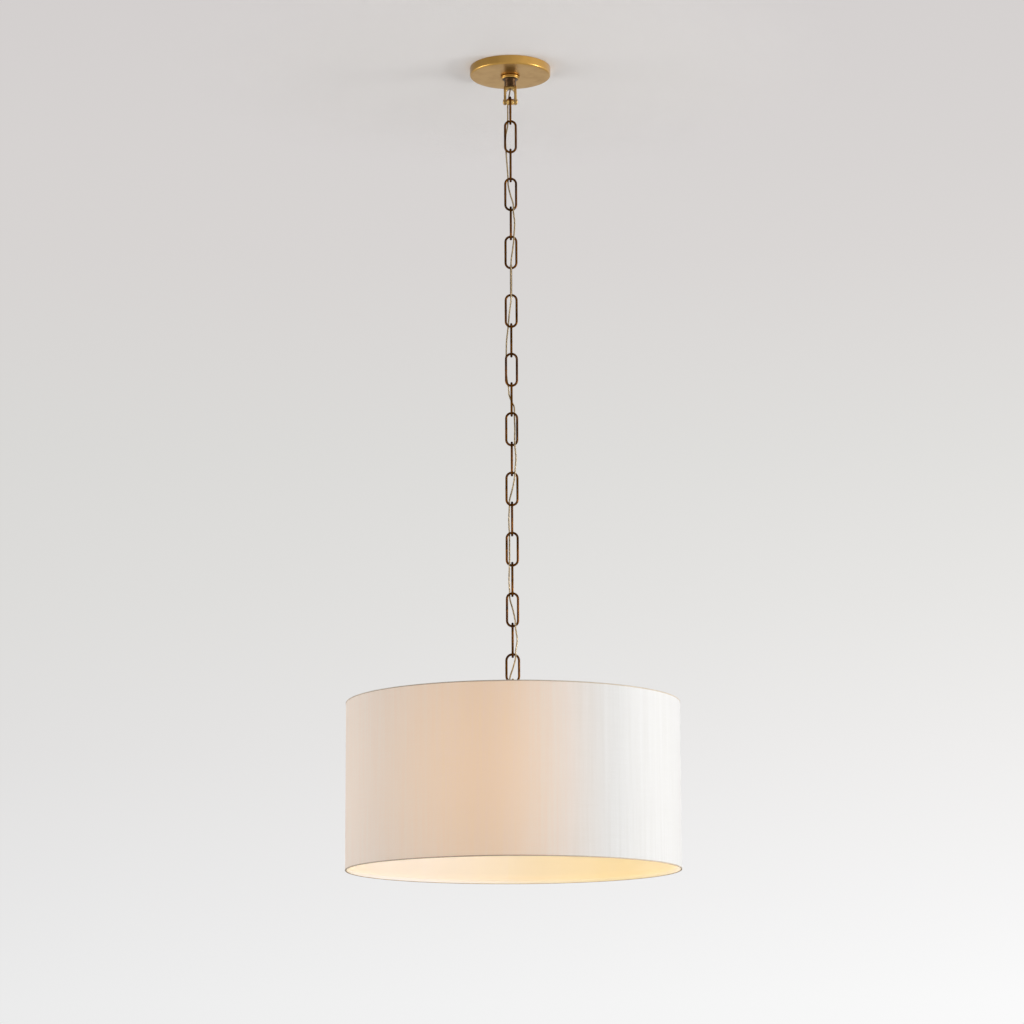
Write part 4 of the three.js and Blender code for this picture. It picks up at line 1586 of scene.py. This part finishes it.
@dataclass
class Shade(Assembly):
    """Loop, cover, spider, hoops, linen over its liner, and the hems."""

    body: str = "shade"
    radius: float = 228.2
    liner_radius: float = 226.9
    edge: float = 228.6
    top: float = -911.34
    bottom: float = -1139.94
    trim: float = 1.6
    hem_roll: float = 0.62
    tuck: float = 0.6
    lap: float = 11.0
    hoop_radius: float = 224.9
    hoop_wire: float = 3.2
    hoop_top: float = -915.74
    hoop_bottom: float = -1135.54
    loop_centre: float = -889.14
    loop_diameter: float = 24.0
    loop_wire: float = 3.6
    hub_top: float = -898.94
    hub_bottom: float = -915.74
    hub_radius: float = 7.8
    hub_bore: float = 5.1
    wireway: float = 2.6
    cap_top: float = -916.04
    cap_radius: float = 16.0
    cap_height: float = 2.6
    tube_top: float = -908.04
    tube_bottom: float = -931.34
    spider_top: float = -918.94
    spider_plate: float = 2.0
    spider_hub: float = 17.0
    arm_radius: float = 1.5
    arms: int = 3
    facets: int = 192
    rows: int = 24

    def loop(self) -> None:
        """The cast loop on its drilled hub."""
        wire = self.loop_wire / 2
        r, low, top, bore, way = self.hub_radius, self.hub_bottom, self.hub_top, self.hub_bore, self.wireway
        hub = [
            (bore, low), (r - 0.4, low), (r, low + 0.4), (r, low + 5.4), (r - 0.35, low + 5.8),
            (r, low + 6.2), (r, top - 2.4), *arc((r - 2.2, top - 2.2), 2.2, 0, 90, 6), (way + 0.2, top),
            (way, top - 0.3), (way, low + 8), (bore, low + 8),
        ]
        circle = arc((self.loop_diameter / 2 - wire, 0), wire, 0, 337.5, 15)
        shape = Shape().lathe(hub, 56).lathe(circle, 48, place=lying(self.loop_centre))
        shape.piece("loop_casting", Finishes.CAST_BRASS, self.body, "shade_loop")

    def cover(self) -> None:
        """The small cover over the spider's hole, its tube and nut."""
        hole, r, top, foot = self.hub_bore, self.cap_radius, self.cap_top, self.cap_top - self.cap_height
        crown = ((15.4, foot + 0.8), (13.0, top - 0.5), (11.0, top), (9.0, top))
        section = [
            (hole, top - 1.2), (self.hub_radius, top - 1.2), (r - 1.3, foot + 0.1), (r - 0.9, foot),
            (r - 0.2, foot), (r, foot + 0.3), *bezier(crown), (hole, top),
        ]
        Shape().lathe(section, 72).piece("cover_cup", Finishes.SATIN_BRASS, self.body, "cover_cap")
        self.threaded_tube("lower_tube", "lower_nipple", "lock_nut", self.tube_top, self.tube_bottom)

    def spider(self) -> None:
        """Hub washer, three arms that step up to the top hoop, and both hoops."""
        top, low, hub = self.spider_top, self.spider_top - self.spider_plate, self.spider_hub
        side = [(hub - 0.5, low), (hub, low + 0.5), (hub, top - 0.5), (hub - 0.5, top)]
        shape = Shape().lathe(bored(self.hub_bore, low, top, side, 0.2), 72)
        shape.piece("spider_washer", Finishes.ENAMEL, self.body, "spider_hub")
        middle, rise = (top + low) / 2, self.hoop_top
        arm = [
            (hub - 4.5, middle), (30.3, middle), (45.0, middle + 0.9), (56.3, rise), (62.0, rise),
            (120.2, rise), (self.hoop_radius - 0.9, rise),
        ]
        for index in range(self.arms):
            angle = math.pi / 2 + index * TURN / self.arms
            ahead = Vector((math.cos(angle), math.sin(angle), 0))
            shape = Shape().tube(Curve([ahead * r + UP * z for r, z in arm]).sampled(6), self.arm_radius)
            shape.piece(f"spider_wire_{index + 1}", Finishes.ENAMEL, self.body, f"spider_arm_{index + 1}")
        for node, height in (("top_hoop", self.hoop_top), ("bottom_hoop", self.hoop_bottom)):
            wire = arc((self.hoop_radius, height), self.hoop_wire / 2, 0, 330, 11)
            Shape().lathe(wire, self.facets).piece(f"{node}_wire", Finishes.ENAMEL, self.body, node)

    def skin(
        self, name: str, finish: Finish, node: str | None, section: Profile, radius: float, outwards: bool
    ) -> bpy.types.Object:
        """Makes an open skin round the drum.

        Args:
            name: The piece's name.
            finish: What it wears.
            node: The solid that it stands for.
            section: Its section.
            radius: The radius that its weave is measured on.
            outwards: True where it faces away from the axis.

        Returns:
            The skin.
        """
        shape = Shape().lathe(section, self.facets, False)
        shape.round_length = TURN * radius * MM
        shape.face_out(outwards)
        return shape.piece(name, finish, self.body, node, recalculate=False)

    def skins(self) -> None:
        """Linen outside, film inside, a lapped seam at the back and a hem on each rim."""
        high, low = self.top - self.tuck, self.bottom + self.tuck
        wall = [(self.radius, high + (low - high) * i / self.rows) for i in range(self.rows + 1)]
        cloth = self.skin("linen_panel", Finishes.LINEN, "shade_linen", wall, self.radius, True)
        line = self.liner_line(high, low)
        self.skin("liner_panel", Finishes.LINER, "shade_liner", line, self.liner_radius, False)
        hems = [self.hem("top", self.top, -1), self.hem("bottom", self.bottom, 1), self.seam()]

    def liner_line(self, high: float, low: float) -> Profile:
        """The liner's section: a straight wall whose two edges are turned over the hoops.

        Args:
            high: Height of its upper edge.
            low: Height of its lower edge.

        Returns:
            Its points from the top down.
        """
        wall, wrap = self.liner_radius, self.hoop_wire / 2 + 0.25

        def turned(hoop: float, rim: float, way: int) -> list[Point]:
            """Draws one edge from its rim over the hoop to the straight wall.

            Args:
                hoop: Height of the hoop.
                rim: Height of the edge.
                way: 1 at the bottom, -1 at the top.

            Returns:
                Its points.
            """
            over = arc((self.hoop_radius, hoop), wrap, 180 + way * 62, 180 - way * 52, 8)
            inner = self.hoop_radius - wrap
            back = (
                over[-1], (inner + 1.4, hoop + way * 3.0), (wall, hoop + way * 4.5), (wall, hoop + way * 9),
            )
            return [(wall - 0.8, rim), *over, *bezier(back)[1:]]

        top, bottom = turned(self.hoop_top, high, -1), turned(self.hoop_bottom, low, 1)
        start, span = top[-1][1], bottom[-1][1] - top[-1][1]
        return [*top, *((wall, start + span * i / 20) for i in range(1, 20)), *reversed(bottom)]

    def hem(self, place: str, rim: float, way: int) -> bpy.types.Object:
        """Makes one rolled hem.

        Args:
            place: The rim that it is on: top or bottom.
            rim: Height of the rim.
            way: 1 where the hem goes up from it, -1 where it goes down.

        Returns:
            The hem.
        """
        r = self.hem_roll
        outer, inner = self.edge - r, self.liner_radius - 0.5 + r
        low, high = sorted((rim, rim + way * self.trim))
        corners = ((outer, low + r, -90), (outer, high - r, 0), (inner, high - r, 90), (inner, low + r, 180))
        rolled = [p for x, z, start in corners for p in arc((x, z), r, start, start + 90, 4)]
        shape = Shape().lathe(rolled, self.facets)
        shape.round_length = TURN * self.edge * MM
        return shape.piece(f"{place}_hem", Finishes.HEM, self.body, f"{place}_trim")

    def seam(self) -> bpy.types.Object:
        """The lap where the linen's two ends meet, at the back.

        Returns:
            The lap.
        """
        high, low = self.top - self.trim, self.bottom + self.trim
        inner, outer, width = self.radius - 0.1, self.radius + 0.28, self.lap / self.radius
        turn = Matrix.Rotation(math.pi / 2 - width / 2, 4, "Z")
        section = [(inner, low), (outer, low), (outer, high), (inner, high)]
        shape = Shape().lathe(section, 6, True, turn, width)
        shape.round_length = TURN * self.radius * MM
        return shape.piece("linen_lap", Finishes.SEAM, self.body)

    def build(self) -> None:
        """Builds every piece of the shade."""
        for step in (self.loop, self.cover, self.spider, self.skins):
            step()


# Socket and bulb


@dataclass
class Socket(Assembly):
    """The keyless socket under the spider: cap, shell, sleeve, core, screw shell and contact."""

    body: str = "shade"
    top: float = -925.54
    hole: float = 5.1
    dome_top: float = -930.54
    skirt_top: float = -943.54
    skirt_bottom: float = -949.54
    shell_top: float = -944.54
    shell_bottom: float = -988.54
    shell_radius: float = 17.0
    shell_wall: float = 0.6
    beads: tuple[float, ...] = (39.5, 12.5, 9.5)
    sleeve_bore: float = 15.3
    sleeve_radius: float = 16.1
    core_top: float = -946.54
    core_bottom: float = -955.54
    core_radius: float = 15.0
    screw_top: float = -955.84
    screw_length: float = 24.0
    screw_radius: float = 14.1
    pitch: float = 3.63

    def shells(self) -> None:
        """The two brass halves and the fibre sleeve between them and the core."""
        hole, dome, skirt, foot = self.hole, self.dome_top, self.skirt_top, self.skirt_bottom
        outer = self.shell_radius + 1.1
        inner = outer - 0.8
        under = ((8.0, dome - 0.9), (13.5, dome - 2.6), (inner, skirt + 5), (inner, skirt))
        over = ((outer, skirt + 0.4), (outer, skirt + 5.4), (13.8, dome - 1.6), (8.4, dome))
        cap = [
            (hole, dome - 0.8), (7.4, dome - 0.8), *bezier(under, 8), (inner, foot + 0.2),
            (outer - 0.6, foot), (outer - 0.2, foot), (outer, foot + 0.3), (outer, skirt - 1.4),
            (outer - 0.25, skirt - 1.0), (outer, skirt - 0.6), *bezier(over, 8), (7.9, dome + 0.5),
            (7.6, self.top - 0.4), (7.2, self.top), (hole, self.top),
        ]
        Shape().lathe(cap, 72).piece("socket_dome", Finishes.SATIN_BRASS, self.body, "socket_cap")
        r, top, low = self.shell_radius, self.shell_top, self.shell_bottom
        beads = [p for at in self.beads for p in arc((r - 0.05, top - at), 0.35, -80, 80, 4)]
        wall = r - self.shell_wall
        shape = Shape().lathe([(wall, low), (r, low), *beads, (r, top), (wall, top)], 72)
        shape.piece("socket_can", Finishes.SATIN_BRASS, self.body, "socket_shell")
        inner, outer = self.sleeve_bore, self.sleeve_radius
        paper = [(inner, low + 0.3), (outer, low + 0.3), (outer, top - 0.3), (inner, top - 0.3)]
        shape = Shape().lathe(paper, 56).soften(Round(0.15, 1))
        shape.piece("fibre_tube", Finishes.FIBRE, self.body, "socket_sleeve")

    def core(self) -> None:
        """Glazed core, rolled screw shell and the sprung contact."""
        top, low, r = self.core_top, self.core_bottom, self.core_radius
        block = [
            (1.8, low), (r - 1, low), (r, low + 1), (r, top - 1), (r - 1, top), (6, top), (5.4, top - 0.8),
            (1.8, top - 0.8),
        ]
        Shape().lathe(block).piece("core_block", Finishes.PORCELAIN, self.body, "socket_core")
        high, foot, r = self.screw_top, self.screw_top - self.screw_length, self.screw_radius
        collar = [
            (r - 5, high - 0.5), (r - 0.9, high - 0.5), (r - 0.9, high - 1.6), (r - 0.4, high - 1.6),
            (r - 0.4, high), (r - 5, high),
        ]
        rim = [(r - 0.9, foot), (r - 0.1, foot), (r - 0.1, foot + 1.2), (r - 0.9, foot + 1.2)]
        shape = Shape().lathe(collar, 48).lathe(rim, 48)
        shape.helix(r - 0.15, 0.6, self.pitch, high - 0.6, self.screw_length, 28)
        shape.piece("screw_sleeve", Finishes.COPPER, self.body, "screw_shell")
        contact = [
            (0, high - 1.0), (2.6, high - 0.95), (3.7, high - 0.7), (4.0, high - 0.3), (4.0, high),
            (1.5, high), (1.5, top + 0.2), (1.1, top), (0, top),
        ]
        shape = Shape().lathe(contact, 32, False)
        shape.piece("contact_tongue", Finishes.COPPER, self.body, "centre_contact")

    def build(self) -> None:
        """Builds the whole socket."""
        self.shells()
        self.core()


@dataclass
class Bulb(Assembly):
    """The frosted bulb on its screw cap, lit from inside."""

    body: str = "bulb"
    centre: float = -1031.04
    radius: float = 30.0
    join: float = 24.0
    neck_radius: float = 12.3
    neck_top: float = -977.04
    wall: float = 0.9
    cap_top: float = -963.04
    cap_bottom: float = -983.04
    cap_radius: float = 13.1
    pitch: float = 3.63

    def glass(self) -> None:
        """The frosted pear, with its wall."""
        pear = arc((0, self.centre), self.radius, -90, self.join, 20)
        (x, z), join = pear[-1], math.radians(self.join)
        neck, top, low = self.neck_radius, self.neck_top, self.cap_bottom
        leaving = (x - math.sin(join) * 15, z + math.cos(join) * 15)
        flank = ((x, z), leaving, (neck, low - 17), (neck, low - 2))
        section = [*pear[:-1], *bezier(flank, 14), (neck, top), (neck - self.wall, top), (0, top - 0.6)]
        Shape().lathe(section, 64, False).piece("bulb_envelope", Finishes.BULB, self.body, "bulb_glass")

    def cap(self) -> None:
        """The rolled cap, black glass and solder tip."""
        r, top, low = self.cap_radius, self.cap_top, self.cap_bottom
        sleeve = [
            (r - 0.8, top - 0.4), (r - 1.1, top), (r - 1.5, top), (r - 1.4, top - 0.8), (r - 1.3, low + 1.6),
            (r - 0.5, low), (r - 0.1, low), (r - 0.1, low + 1.6), (r - 0.9, low + 2.4), (r - 0.9, top - 1.2),
        ]
        shape = Shape().lathe(sleeve, 48).helix(r, 0.8, self.pitch, top - 0.8, 18.4, 28)
        shape.piece("screw_cap", Finishes.NICKEL, self.body, "bulb_cap")
        cone = bezier(((r - 0.7, top + 0.8), (10.6, top + 2.2), (7.2, top + 3.0), (6.0, top + 4.5)))
        glass = [(0, top + 0.3), (r - 0.6, top + 0.3), *cone, (0, top + 4.5)]
        Shape().lathe(glass, 40, False).piece("cap_glass", Finishes.BLACK_GLASS, self.body, "bulb_insulator")
        tip, foot = top + 5.9, top + 4.8
        solder = [(0, foot), (4.4, foot), (4.6, foot + 0.3), (4.2, tip - 0.35), (2.6, tip - 0.1), (0, tip)]
        Shape().lathe(solder, 32, False).piece("cap_tip", Finishes.NICKEL, self.body, "bulb_contact")

    def build(self) -> None:
        """Builds the whole bulb; its stem and filament stay as they are, in glass and wire."""
        self.glass()
        self.cap()
        dress(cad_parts["bulb_stem"], Finishes.STEM)
        dress(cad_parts["filament"], Finishes.TUNGSTEN)


def main() -> None:
    """Builds the studio and the light."""
    logging.basicConfig(level=logging.INFO, format="%(name)s: %(message)s")
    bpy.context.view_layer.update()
    Studio().build()
    chain = Chain()
    for assembly in (CeilingMount(), chain, Cord(chain), Shade(), Socket(), Bulb()):
        log.info("building %s", type(assembly).__name__)
        assembly.build()


if __name__ == "__main__":
    main()
